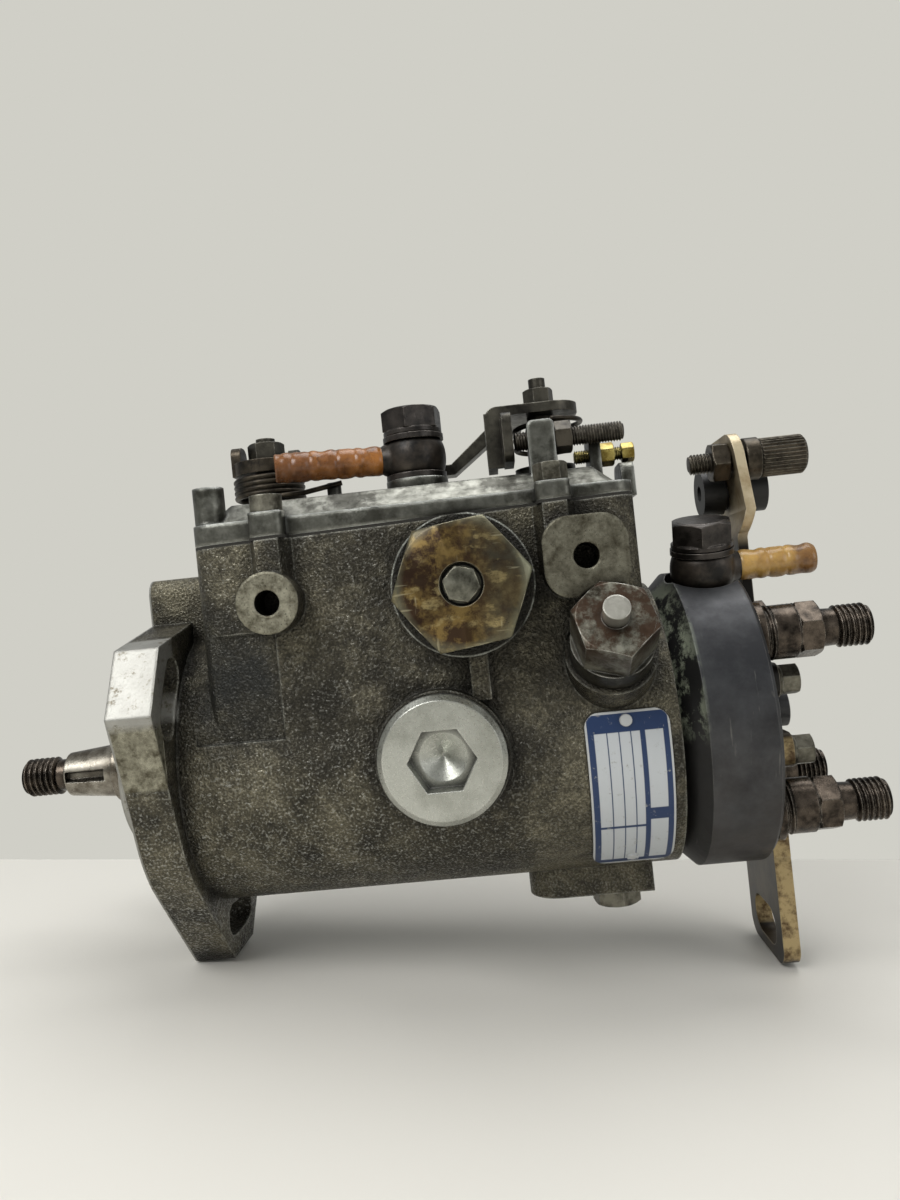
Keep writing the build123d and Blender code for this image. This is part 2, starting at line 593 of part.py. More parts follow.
def thrust_sleeve():
    rear = SLEEVE_LENGTH - SLEEVE_COLLAR - 6.5
    sleeve = turned((SLEEVE_START, 0, 0), X_AXIS, (SLEEVE_COLLAR_RADIUS, SLEEVE_COLLAR),
                    (SLEEVE_RADIUS, 6.5), (SLEEVE_REAR_COLLAR_RADIUS, rear))
    return sleeve - rod((SLEEVE_START, 0, 0), X_AXIS, SLEEVE_SEAT_RADIUS + RUNNING, SLEEVE_LENGTH)


def governor_arm():
    half = ARM_THICKNESS / 2
    arm = block(ARM_PIVOT_X - half, ARM_PIVOT_X + half, -8, 8, 22, ARM_TOP)
    arm += block(ARM_PIVOT_X - half, ARM_PIVOT_X + half, -17, 17, 22, 36)
    arm += block(ARM_PIVOT_X - half, ARM_PIVOT_X + half, -8, LINK_Y + 4, ARM_TOP - 4, ARM_TOP)
    pad_x = SLEEVE_START + SLEEVE_COLLAR + 3.25
    for side in (-1, 1):
        arm += block(pad_x - 2.2, ARM_PIVOT_X + half, side * 14.5, side * 17, -3, 24)
        arm += rod((pad_x, side * 14.5, 0), -side * Y_AXIS, 2.2, 14.5 - SLEEVE_RADIUS - APART)
    pin_half = BOX_HALF_WIDTH - BOX_WALL + 2.5
    arm += rod((ARM_PIVOT_X, -pin_half, ARM_PIVOT_Z), Y_AXIS, ARM_PIN_RADIUS, 2 * pin_half)
    arm -= rod((ARM_PIVOT_X - half, LINK_Y, ARM_TOP - 2), X_AXIS, LINK_RADIUS + 0.4, ARM_THICKNESS)
    return arm


def governor_link():
    z = ARM_TOP - 2
    front = ARM_PIVOT_X - ARM_THICKNESS / 2 - 0.35
    link = rod((front - 1.2, LINK_Y, z), X_AXIS, 2.6, 1.2)
    link += rod((front, LINK_Y, z), X_AXIS, LINK_RADIUS, METERING_X - 4 - front)
    link += rod((front + ARM_THICKNESS + 0.7, LINK_Y, z), X_AXIS, 2.6, 1)
    eye = block(METERING_X - 5, METERING_X + 4, LINK_Y - 4, LINK_Y + 4, z - 0.7, z + 0.7)
    eye = fillet(eye.edges().filter_by(Axis.Z), 2)
    slot_outline = Pos(METERING_X, LINK_Y) * Rot(0, 0, 90) * SlotOverall(4.4, 2.2)
    slot = extrude(Plane.XY.offset(z - 2) * slot_outline, 4)
    return link + eye - slot


def metering_valve():
    x, y = METERING_X, METERING_Y
    valve = turned((x, y, 16), Z_AXIS, (METERING_RADIUS - RUNNING, 15), (2.5, 31.5))
    valve -= block(x - 5, x + 5, y - 5, y - 1.5, 18, 24)
    arm = block(x - 2.2, x + 2.2, y, y + METERING_ARM, 62.5, 64.5)
    arm += rod((x, y, 62.5), Z_AXIS, 3.5, 2) + rod((x, y + METERING_ARM, 62.5), Z_AXIS, 2.2, 2)
    return valve + arm + rod((x, y + METERING_ARM, 64.5), Z_AXIS, 1, 4)


# ---------------------------------------------------------------- cam, rotor and advance
def cam_ring():
    start = CAM_X - CAM_WIDTH / 2
    count = 48
    profile = []
    for step in range(count):
        angle = 2 * math.pi * step / count
        rise = (1 - math.cos(CAM_LOBES * angle)) / 2
        radius = CAM_BASE_RADIUS - CAM_LOBE_HEIGHT * rise ** 1.5
        profile.append((radius * math.cos(angle), radius * math.sin(angle)))
    section = Plane(origin=(start, 0, 0), x_dir=(0, 1, 0), z_dir=(1, 0, 0))
    track = extrude(section * make_face(Spline(*profile, periodic=True)), CAM_WIDTH)
    ring = rod((start, 0, 0), X_AXIS, CAM_RADIUS, CAM_WIDTH) - track
    shank = rod((CAM_X, 0, CAM_RADIUS - 1.5), Z_AXIS, CAM_SHANK_RADIUS, ADVANCE_Z - CAM_RADIUS)
    return ring + shank + Pos(CAM_X, 0, ADVANCE_Z) * Sphere(CAM_BALL_RADIUS)


def advance_piston():
    half = ADVANCE_PISTON_LENGTH / 2
    piston = rod((CAM_X, -half, ADVANCE_Z), Y_AXIS, ADVANCE_BORE - RUNNING, 2 * half)
    slot = CAM_BALL_RADIUS + SLIP
    piston -= rod((CAM_X, 0, ADVANCE_Z - 20), Z_AXIS, slot, 20 + slot + 1)
    piston -= rod((CAM_X, -half, ADVANCE_Z), Y_AXIS, 6.5, 9)
    return piston - rod((CAM_X, half, ADVANCE_Z), -Y_AXIS, 6.5, 6)


def distributor_rotor():
    head_start = CAM_X - ROTOR_HEAD_WIDTH / 2
    rotor = rod((73.5, 0, 0), X_AXIS, 10.5, head_start - 73.5)
    rotor += rod((head_start, 0, 0), X_AXIS, ROTOR_HEAD_RADIUS, ROTOR_HEAD_WIDTH)
    rotor += rod((head_start + ROTOR_HEAD_WIDTH, 0, 0), X_AXIS, ROTOR_RADIUS - RUNNING,
                 ROTOR_END - head_start - ROTOR_HEAD_WIDTH)
    rotor += block(ROTOR_END, ROTOR_END + 3.5, -5, 5, -2, 2)
    tang_half = TANG_THICKNESS / 2 + SLIP
    rotor -= block(TANG_START - 2, TANG_START + TANG_LENGTH + 1, -8, 8, -tang_half, tang_half)
    rotor -= rod((CAM_X, 0, -20), Z_AXIS, PLUNGER_RADIUS + RUNNING, 40)
    slot = block(head_start + 1, head_start + ROTOR_HEAD_WIDTH - 1, -SHOE_WIDTH / 2 - RUNNING,
                 SHOE_WIDTH / 2 + RUNNING, 9.5, 20)
    rotor -= slot
    rotor -= around(180, slot)
    rotor -= rod((CAM_X, 0, 0), X_AXIS, 1.5, 35)
    return rotor


def pumping_element(index):
    """A plunger, its roller shoe and its roller, which ride in and out together."""
    plunger = rod((CAM_X, 0, 2), Z_AXIS, PLUNGER_RADIUS, 8)
    length = ROTOR_HEAD_WIDTH - 2 - 2 * APART
    start = CAM_X - length / 2
    shoe = block(start, start + length, -SHOE_WIDTH / 2, SHOE_WIDTH / 2, 10, 16.4)
    shoe -= rod((start, 0, ROLLER_CENTRE), X_AXIS, ROLLER_RADIUS + RUNNING, length)
    roller = rod((start, 0, ROLLER_CENTRE), X_AXIS, ROLLER_RADIUS, length)
    turn = 180 * index
    return [around(turn, plunger), around(turn, shoe), around(turn, roller)]


# ---------------------------------------------------------------- hydraulic head
def outlet_places():
    return [(side_y * OUTLET_OFFSET, side_z * OUTLET_OFFSET) for side_y in (-1, 1) for side_z in (-1, 1)]


def hydraulic_head():
    collar = rod((BODY_END, 0, 0), X_AXIS, HEAD_RADIUS, HEAD_END - BODY_END)
    front, rear = collar.edges().filter_by(GeomType.CIRCLE).sort_by(Axis.X)
    collar = chamfer(front, HEAD_CHAMFER)
    collar = chamfer(collar.edges().filter_by(GeomType.CIRCLE).sort_by(Axis.X)[-1], 1)
    head = collar + rod((SPIGOT_START, 0, 0), X_AXIS, SPIGOT_RADIUS, BODY_END - SPIGOT_START)
    head -= tube((SEAL_GROOVE_X - 2, 0, 0), X_AXIS, SPIGOT_RADIUS + 1, SPIGOT_RADIUS - 2.4, 4)
    head -= rod((0, 0, 0), X_AXIS, ROTOR_RADIUS, HEAD_END)
    head -= rod((ROTOR_END, 0, 0), X_AXIS, TRANSFER_RADIUS, HEAD_END - ROTOR_END)
    inlet = radial(INLET_ANGLE, 1, 0)
    seat = radial(INLET_ANGLE, HEAD_SEAT, INLET_X)
    head -= rod(seat, inlet, EYE_RADIUS + 1, 12)
    head -= rod(seat, -inlet, BANJO_BOLT_RADIUS, 15)
    head -= rod((METERING_X, METERING_Y, 14), Z_AXIS, METERING_RADIUS, 30)
    solenoid = radial(SOLENOID_ANGLE, 1, 0)
    head -= rod(radial(SOLENOID_ANGLE, 24, SOLENOID_X), solenoid, 6, 20)
    for y, z in outlet_places():
        head -= rod((HEAD_END, y, z), -X_AXIS, VALVE_THREAD_RADIUS, 9)
    for turn in END_SCREW_ANGLES:
        head -= rod(radial(turn, END_SCREW_CIRCLE, HEAD_END), -X_AXIS, SCREW_RADIUS, END_SCREW_DEPTH)
    return head - rod((BOLT_X, 0, -SPIGOT_RADIUS), Z_AXIS, 3, 5)


def transfer_liner():
    liner = rod((ROTOR_END, 0, 0), X_AXIS, TRANSFER_RADIUS, HEAD_END - ROTOR_END)
    return liner - rod((ROTOR_END, 0, 1), X_AXIS, 12.5, HEAD_END - ROTOR_END)


def transfer_rotor():
    """The slotted rotor of the transfer pump and its two sliding blades."""
    start = ROTOR_END + APART
    length = HEAD_END - ROTOR_END - 2 * APART
    rotor = rod((start, 0, 0), X_AXIS, 10, length)
    rotor -= block(start, start + 3.4, -5, 5, -2, 2)
    rotor -= block(start + 4, start + length, -12, 12, -1.05, 1.05)
    blades = [block(start + 4, start + length, side * 2, side * 11, -1, 1) for side in (-1, 1)]
    return [rotor] + blades


def end_plate():
    start = HEAD_END
    plate = rod((start, 0, 0), X_AXIS, END_PLATE_RADIUS, END_PLATE_THICKNESS)
    plate += turned((start + END_PLATE_THICKNESS, 0, 0), X_AXIS, (9.5, 6), (6, 4))
    for turn in END_SCREW_ANGLES:
        plate -= rod(radial(turn, END_SCREW_CIRCLE, start), X_AXIS, SCREW_RADIUS + SLIP, 10)
    return plate - rod((start, 0, 0), X_AXIS, 3, 11)


def end_plate_screws():
    """Four hexagon screws, which also hold the two brackets."""
    screws = []
    for turn in END_SCREW_ANGLES:
        grip = CABLE_PLATE_THICKNESS if turn < 180 else BRACKET_THICKNESS
        seat = HEAD_END + END_PLATE_THICKNESS + grip
        start = HEAD_END - END_SCREW_DEPTH + 1
        shank = rod(radial(turn, END_SCREW_CIRCLE, start), X_AXIS, SCREW_RADIUS, seat - start)
        washer = rod(radial(turn, END_SCREW_CIRCLE, seat), X_AXIS, END_WASHER_RADIUS, 1)
        head = hex_head(radial(turn, END_SCREW_CIRCLE, seat + 1), X_AXIS, 8, 5, turn=15)
        screws.append(shank + washer + head)
    return screws


def delivery_valve_holders():
    holders = []
    start = HEAD_END
    for y, z in outlet_places():
        at = (start - 8, y, z)
        holder = turned(at, X_AXIS, (VALVE_THREAD_RADIUS, 8 + 2), (VALVE_BODY_RADIUS, 12), (5, 8))
        holder += hex_head((start + 11.5, y, z), X_AXIS, VALVE_FLATS, 6.3, turn=10)
        thread = rod((start + 22, y, z), X_AXIS, VALVE_THREAD_RADIUS, 9.7)
        holder += chamfer(thread.edges().sort_by(Axis.X)[-1], 1)
        holder -= rod(at, X_AXIS, VALVE_BORE, 28)
        holder -= rod(at, X_AXIS, 1.5, 50)
        mouth = facing((start + 31.7, y, z), -X_AXIS) * Pos(0, 0, 1.5) * Cone(4, 1.5, 3)
        holders.append(holder - mouth)
    return holders


def valve_washers():
    washers = []
    for y, z in outlet_places():
        washers.append(tube((HEAD_END, y, z), X_AXIS, VALVE_BODY_RADIUS + 0.6, VALVE_THREAD_RADIUS, 2))
    return washers


def delivery_valve(index):
    y, z = outlet_places()[index]
    start = HEAD_END - 7.5
    return turned((start, y, z), X_AXIS, (VALVE_BORE - RUNNING, 4), (1.6, 4), (VALVE_BORE - RUNNING, 3))


# ---------------------------------------------------------------- unions, caps and plugs
def banjo_bolt(seat, toward, grip):
    """A hollow bolt whose grip passes through a union eye and two washers."""
    plane = facing(seat, toward)
    shank = plane.offset(-7) * Pos(0, 0, (grip + 7) / 2) * Cylinder(BANJO_BOLT_RADIUS, grip + 7)
    shank -= plane.offset(-7) * Pos(0, 0, (grip + 2) / 2) * Cylinder(2.5, grip + 2)
    flange = plane.offset(grip) * Pos(0, 0, 0.9) * Cylinder(9.2, 1.8)
    head_at = plane.offset(grip + 1.8).origin
    return shank + flange + hex_head(head_at, toward, BANJO_FLATS, 7, turn=8)


BANJO_GRIP = EYE_HEIGHT + 2 * BANJO_WASHER
UNIONS = (
    (radial(INLET_ANGLE, HEAD_SEAT, INLET_X), radial(INLET_ANGLE, 1, 0), Vector(1, 0.02, -0.03)),
    (Vector(RETURN_X, RETURN_Y, RETURN_SEAT), Z_AXIS, Vector(-1, -0.24, 0.02)),
)


def banjo_bolts():
    return [banjo_bolt(seat, toward, BANJO_GRIP) for seat, toward, _ in UNIONS]


def hose_start(seat, toward, outward):
    """Where the hose leaves the union eye, and its direction square to the bolt."""
    direction = (outward - toward * outward.dot(toward)).normalized()
    return seat + toward * (BANJO_WASHER + EYE_HEIGHT / 2), direction


def banjo_eyes():
    eyes = []
    for seat, toward, outward in UNIONS:
        base = seat + toward * BANJO_WASHER
        half = EYE_HEIGHT / 2
        side = ThreePointArc((EYE_NECK, -half), (EYE_RADIUS, 0), (EYE_NECK, half))
        inner_side = Polyline((EYE_NECK, half), (0, half), (0, -half), (EYE_NECK, -half))
        half_section = make_face(side + inner_side)
        barrel = revolve(Plane.XZ * half_section, Axis.Z)
        eye = facing(base, toward) * Pos(0, 0, half) * barrel
        centre, direction = hose_start(seat, toward, outward)
        eye += rod(centre, direction, HOSE_BORE, 22)
        eye -= rod(base, toward, BANJO_BOLT_RADIUS + 1, EYE_HEIGHT)
        eyes.append(eye - rod(centre, direction, HOSE_BORE - 1, 22))
    return eyes


def banjo_washers():
    washers = []
    for seat, toward, _ in UNIONS:
        for height in (0, BANJO_WASHER + EYE_HEIGHT):
            at = seat + toward * height
            washers.append(tube(at, toward, 9.2, BANJO_BOLT_RADIUS + SLIP, BANJO_WASHER))
    return washers


def hose(index, length):
    seat, toward, outward = UNIONS[index]
    centre, direction = hose_start(seat, toward, outward)
    return tube(centre + direction * (EYE_RADIUS + 0.2), direction, HOSE_RADIUS, HOSE_BORE, length)


def advance_cap():
    """The big hexagon cap, and the small screw in the recess at its centre."""
    cap = hex_head(near_side(CAM_X, ADVANCE_Z, CAP_BOSS_FACE), -Y_AXIS, CAP_FLATS,
                   CAP_FACE - CAP_BOSS_FACE, turn=CAP_TURN)
    cap += rod(near_side(CAM_X, ADVANCE_Z, CAP_BOSS_FACE), Y_AXIS, ADVANCE_BORE, 12)
    cap -= rod(near_side(CAM_X, ADVANCE_Z, CAP_BOSS_FACE - 12), -Y_AXIS, ADVANCE_BORE - 2.5, 8)
    floor = near_side(CAM_X, ADVANCE_Z, CAP_FACE - 4)
    cap -= rod(floor, -Y_AXIS, CAP_RECESS_RADIUS, 10)
    cap -= rod(floor, Y_AXIS, SCREW_RADIUS, 20)
    screw = hex_head(floor, -Y_AXIS, CAP_SCREW_FLATS, 5, turn=5) + rod(floor, Y_AXIS, SCREW_RADIUS, 12)
    return [cap, screw]


def advance_plug():
    """The plain plug at the far end of the advance bore."""
    start = PLUG_BOSS_FACE - 12
    plug = rod((CAM_X, start, ADVANCE_Z), Y_AXIS, ADVANCE_BORE, 12)
    plug -= rod((CAM_X, start, ADVANCE_Z), Y_AXIS, ADVANCE_BORE - 2.5, 8)
    return plug + hex_head((CAM_X, PLUG_BOSS_FACE, ADVANCE_Z), Y_AXIS, PLUG_FLATS, 6)


def cam_plug():
    at = near_side(CAM_PLUG_X, CAM_PLUG_Z, CAM_PLUG_SEAT)
    disc = rod(at, -Y_AXIS, CAM_PLUG_RADIUS, CAM_PLUG_FACE - CAM_PLUG_SEAT)
    disc = chamfer(disc.edges().filter_by(GeomType.CIRCLE).sort_by(Axis.Y)[0], 1.5)
    plug = disc + rod(at, Y_AXIS, CAM_PLUG_RADIUS - 3, 7.5)
    face = near_side(CAM_PLUG_X, CAM_PLUG_Z, CAM_PLUG_FACE)
    plug -= hexagon(face, Y_AXIS, CAM_PLUG_SOCKET, 6.5, turn=30)
    drill = facing(near_side(CAM_PLUG_X, CAM_PLUG_Z, CAM_PLUG_FACE - 6.5), Y_AXIS)
    return plug - drill * Pos(0, 0, 1.5) * Cone(6.5, 0, 3)


def shutoff_solenoid():
    toward = radial(SOLENOID_ANGLE, 1, 0)
    base = radial(SOLENOID_ANGLE, SOLENOID_SEAT, SOLENOID_X)
    body = turned(base, toward, (11, 7))
    hexagon_foot = radial(SOLENOID_ANGLE, SOLENOID_SEAT + 7, SOLENOID_X)
    body += hex_head(hexagon_foot, toward, SOLENOID_FLATS, 12, turn=12)
    body += rod(base, -toward, 6, SOLENOID_SEAT - 27)
    body -= rod(radial(SOLENOID_ANGLE, 26, SOLENOID_X), toward, 3, 30)
    top = radial(SOLENOID_ANGLE, SOLENOID_SEAT + 19, SOLENOID_X)
    return [body, rod(top, toward, 3.4, 5)]


def shutoff_plunger():
    return rod(radial(SOLENOID_ANGLE, 25, SOLENOID_X), radial(SOLENOID_ANGLE, 1, 0), 3 - RUNNING, 24)


def head_locating_bolt():
    seat = (BOLT_X, 0, -BOLT_SEAT)
    depth = BOLT_SEAT - SPIGOT_RADIUS
    head = hex_head((BOLT_X, 0, -BOLT_SEAT - 1.2), -Z_AXIS, 13, 5.5, turn=20)
    washer = rod(seat, -Z_AXIS, 8, 1.2)
    shank = rod(seat, Z_AXIS, 4, depth - 0.5)
    return head + washer + shank + rod(seat, Z_AXIS, 3 - SLIP, depth + 3)


def name_plate():
    """A thin blank plate bent round the body, with two rivets."""
    face = BODY_RADIUS + PLATE_THICKNESS
    skin = tube((110, 0, 0), X_AXIS, face, BODY_RADIUS, 40)
    outline = Plane.XZ * Pos(PLATE_X, PLATE_Z) * RectangleRounded(PLATE_WIDTH, PLATE_HEIGHT, PLATE_CORNER)
    plate = skin & extrude(outline, 80)
    rivets = []
    for z in RIVET_ZS:
        turn = math.degrees(math.atan2(z, -math.sqrt(face ** 2 - z ** 2)))
        rivets.append(rod(radial(turn, face, RIVET_X), radial(turn, 1, 0), 1.6, 0.8))
    return [plate] + rivets


# ---------------------------------------------------------------- brackets
def rear_bracket():
    """The support foot, a thick plate with a broad slot."""
    foot = Pos(9, (BRACKET_BOTTOM - 40) / 2) * RectangleRounded(34, -40 - BRACKET_BOTTOM, 6)
    neck = Pos(2, -25) * Rectangle(20, 38)
    bar = Pos(0, -9.8) * RectangleRounded(45, 10, 4)
    window = Pos(9, -68) * SlotOverall(22, 12)
    outline = foot + neck + bar - window
    for turn in END_SCREW_ANGLES:
        hole = radial(turn, END_SCREW_CIRCLE, 0)
        outline -= Pos(hole.Y, hole.Z) * Circle(SCREW_RADIUS + SLIP)
    outline -= Circle(10)
    section = Plane(origin=(HEAD_END + END_PLATE_THICKNESS, 0, 0), x_dir=(0, 1, 0), z_dir=(1, 0, 0))
    return extrude(section * outline, BRACKET_THICKNESS)


def cable_bracket():
    """A strip that rises from the end plate and carries the cable clamp."""
    start = HEAD_END + END_PLATE_THICKNESS
    thick = CABLE_PLATE_THICKNESS
    line = [(start, 5), (start, 53), (start + 2.6, 61), (start + 0.2, 85)]
    back = [(x + thick, z) for x, z in reversed(line)]
    profile = Plane.XZ * make_face(Polyline(*line, *back, close=True))
    strip = extrude(profile, 30, both=True)
    bar = Pos(0, 10.4) * RectangleRounded(45, 10, 4)
    riser = Pos(4.5, 34) * Rectangle(19, 52)
    head = Pos(7, 69) * RectangleRounded(30, 32, 7)
    outline = bar + riser + head
    section = Plane(origin=(150, 0, 0), x_dir=(0, 1, 0), z_dir=(1, 0, 0))
    strip &= extrude(section * outline, 60)
    strip -= rod((150, CLAMP_Y, CLAMP_Z), X_AXIS, 3.3, 60)
    strip -= rod((150, GROMMET_Y, GROMMET_Z), X_AXIS, 6, 60)
    strip -= rod((150, 0, 0), X_AXIS, 10, 60)
    for turn in END_SCREW_ANGLES:
        strip -= rod(radial(turn, END_SCREW_CIRCLE, 150), X_AXIS, SCREW_RADIUS + SLIP, 60)
    return strip


def clamp_face():
    """The X of the cable plate's front at the height of the clamp."""
    start = HEAD_END + END_PLATE_THICKNESS
    return start + 2.6 - 2.4 * (CLAMP_Z - 61) / 24


def cable_clamp_stud():
    """The knurled cable clamp with its nut."""
    face = clamp_face() + CABLE_PLATE_THICKNESS + 0.9
    at = (face, CLAMP_Y, CLAMP_Z)
    stud = turned(at, X_AXIS, (6.5, 4.6), (6, 13.8))
    stud += rod(at, -X_AXIS, 3.2, 16.5)
    nut = hex_head((clamp_face() - 0.9, CLAMP_Y, CLAMP_Z), -X_AXIS, 11, 5.2, turn=20)
    nut -= rod((150, CLAMP_Y, CLAMP_Z), X_AXIS, 3.2, 60)
    return [stud, nut]


def rubber_grommet():
    middle = clamp_face() + 1.6 + CABLE_PLATE_THICKNESS / 2
    grommet = rod((middle - 10, GROMMET_Y, GROMMET_Z), X_AXIS, 7.4, 20)
    grommet -= tube((middle - 3.2, GROMMET_Y, GROMMET_Z), X_AXIS, 8, 5.7, 6.4)
    return grommet - rod((middle - 10, GROMMET_Y, GROMMET_Z), X_AXIS, 2.5, 20)


# ---------------------------------------------------------------- controls
def throttle_shaft():
    """The shaft with its inner crank, and the nut that holds the lever."""
    x, y = THROTTLE_X, THROTTLE_Y
    shaft = turned((x, y, 65.5), Z_AXIS, (CONTROL_SHAFT_RADIUS, LEVER_Z - 65.5), (2.5, 11.5))
    crank = block(x - 3, x + 3, y, y + 10, 65.5, 68)
    crank += rod((x, y + 10, 62), Z_AXIS, 1.2, 6)
    nut_z = LEVER_Z + LEVER_THICKNESS
    nut = hex_head((x, y, nut_z), Z_AXIS, 8, 5.5, turn=10) - rod((x, y, nut_z), Z_AXIS, 2.5, 6)
    return [shaft + crank, nut]


def throttle_lever():
    """A plate bent down in front, with a tab that meets the speed screw and an arm for the cable."""
    x, y = THROTTLE_X, THROTTLE_Y
    front = x - LEVER_REACH
    z = LEVER_Z
    line = make_face(Polyline((x + 11, z), (x + 11, z + LEVER_THICKNESS), (front, z + LEVER_THICKNESS),
                              (front, LEVER_BOTTOM), (front + LEVER_THICKNESS, LEVER_BOTTOM),
                              (front + LEVER_THICKNESS, z), close=True))
    bent = extrude(Plane.XZ.offset(-y) * line, LEVER_WIDTH / 2, both=True)
    outer_bend = bent.edges().filter_by(Axis.Y).group_by(Axis.Z)[-1].sort_by(Axis.X)[0]
    lever = fillet(outer_bend, 4)
    corners = lever.edges().filter_by(Axis.Z).group_by(Axis.X)[-1]
    lever = fillet(corners, LEVER_WIDTH / 2 - 1)
    lower = lever.edges().filter_by(Axis.X).group_by(Axis.Z)[0].sort_by(Axis.Y)[-1]
    lever = fillet(lower, 5)
    near_side_of_plate = y - LEVER_WIDTH / 2
    lever += block(front, x - TAB_REACH, near_side_of_plate, near_side_of_plate + LEVER_THICKNESS,
                   LEVER_BOTTOM, z + 1)
    tab = block(x - TAB_REACH - LEVER_THICKNESS, x - TAB_REACH, TOWER_Y - 3, y - 4, 80, 94)
    tab = fillet(tab.edges().filter_by(Axis.X).group_by(Axis.Y)[0], 3)
    tab += block(x - TAB_REACH - LEVER_THICKNESS, x - TAB_REACH, y - LEVER_WIDTH / 2 + 1, y - 4, 80, z + 1)
    arm_line = make_face(Polyline((front + 2, z - 1), (CABLE_HOLE_X + 6, 84.5), (CABLE_HOLE_X - 5, 84.5),
                                  (CABLE_HOLE_X - 5, 88), (CABLE_HOLE_X + 5, 88),
                                  (front, z + LEVER_THICKNESS), (front + 4, z + LEVER_THICKNESS),
                                  (front + 4, z + 1), close=True))
    arm = extrude(Plane.XZ.offset(-CABLE_HOLE_Y) * arm_line, 4, both=True)
    bridge = block(front + 0.5, x - 5, y, CABLE_HOLE_Y + 4, z + 0.5, z + LEVER_THICKNESS)
    arm = arm + bridge - rod((CABLE_HOLE_X, CABLE_HOLE_Y, 80), Z_AXIS, CABLE_HOLE_RADIUS, 20)
    return lever + tab + arm - rod((x, y, z - 1), Z_AXIS, 2.5, 10)


def adjusting_screws():
    """The speed screw and the brass idle screw, each with its lock nut."""
    start = THROTTLE_X - TAB_REACH + APART
    speed = rod((start, TOWER_Y, SPEED_SCREW_Z), X_AXIS, SCREW_RADIUS, 143.5 - start)
    nut = hex_head((TOWER_X, TOWER_Y, SPEED_SCREW_Z), X_AXIS, 8, 5, turn=10)
    nut -= rod((TOWER_X, TOWER_Y, SPEED_SCREW_Z), X_AXIS, SCREW_RADIUS, 10)
    at = (IDLE_LUG_X, IDLE_SCREW_Y, IDLE_SCREW_Z)
    lock = hexagon(at, X_AXIS, 6, 4.3, turn=12) - rod(at, X_AXIS, 2, 10)
    idle = rod((130, IDLE_SCREW_Y, IDLE_SCREW_Z), X_AXIS, 2, 14)
    idle += hexagon((143.7, IDLE_SCREW_Y, IDLE_SCREW_Z), X_AXIS, 5, 3.6, turn=12)
    return [speed, nut, lock, idle]


def stop_shaft():
    x, y = STOP_X, STOP_Y
    shaft = turned((x, y, 65.5), Z_AXIS, (CONTROL_SHAFT_RADIUS, STOP_DISC_Z - 65.5), (3, 11.5))
    crank = block(x, x + 10, y - 3, y + 3, 65.5, 68)
    nut_z = STOP_DISC_Z + 4
    nut = hex_head((x, y, nut_z), Z_AXIS, 10, 6, turn=10) - rod((x, y, nut_z), Z_AXIS, 3, 7)
    return [shaft + crank, nut]


def stop_lever():
    """A dished disc with two upright tabs."""
    x, y, z = STOP_X, STOP_Y, STOP_DISC_Z
    front, rear = x - STOP_DISC_RADIUS, x + STOP_DISC_RADIUS
    lever = rod((x, y, z), Z_AXIS, STOP_DISC_RADIUS, 4)
    tall = block(front, front + 3, y - 4, y + 4, z, z + 9.5)
    tall = fillet(tall.edges().filter_by(Axis.X).group_by(Axis.Z)[-1], 3)
    short = block(rear - 3, rear, y - 4, y + 4, z, z + 7)
    short = fillet(short.edges().filter_by(Axis.X).group_by(Axis.Z)[-1], 3)
    return lever + tall + short - rod((x, y, z), Z_AXIS, 3, 10)


# ---------------------------------------------------------------- springs
def stop_spring():
    return coil((STOP_X, STOP_Y, 79.8), Z_AXIS, 10, 2.15, 3.4, 0.95)


def throttle_spring():
    return coil((THROTTLE_X, THROTTLE_Y, LEVER_Z - 10.5), Z_AXIS, 8.2, 2.8, 3, 0.8)


def governor_spring():
    return coil((ARM_PIVOT_X + 2.1, 0, 66), X_AXIS, 3, 2.6, 21.5, 0.5)


def advance_spring():
    start = -ADVANCE_PISTON_LENGTH / 2 + 9
    return coil((CAM_X, start - 1, ADVANCE_Z), -Y_AXIS, 5, 4, 5, 0.7)


def delivery_springs():
    springs = []
    for y, z in outlet_places():
        springs.append(coil((HEAD_END + 5.7, y, z), X_AXIS, 2.1, 2.2, 5, 0.4))
    return springs


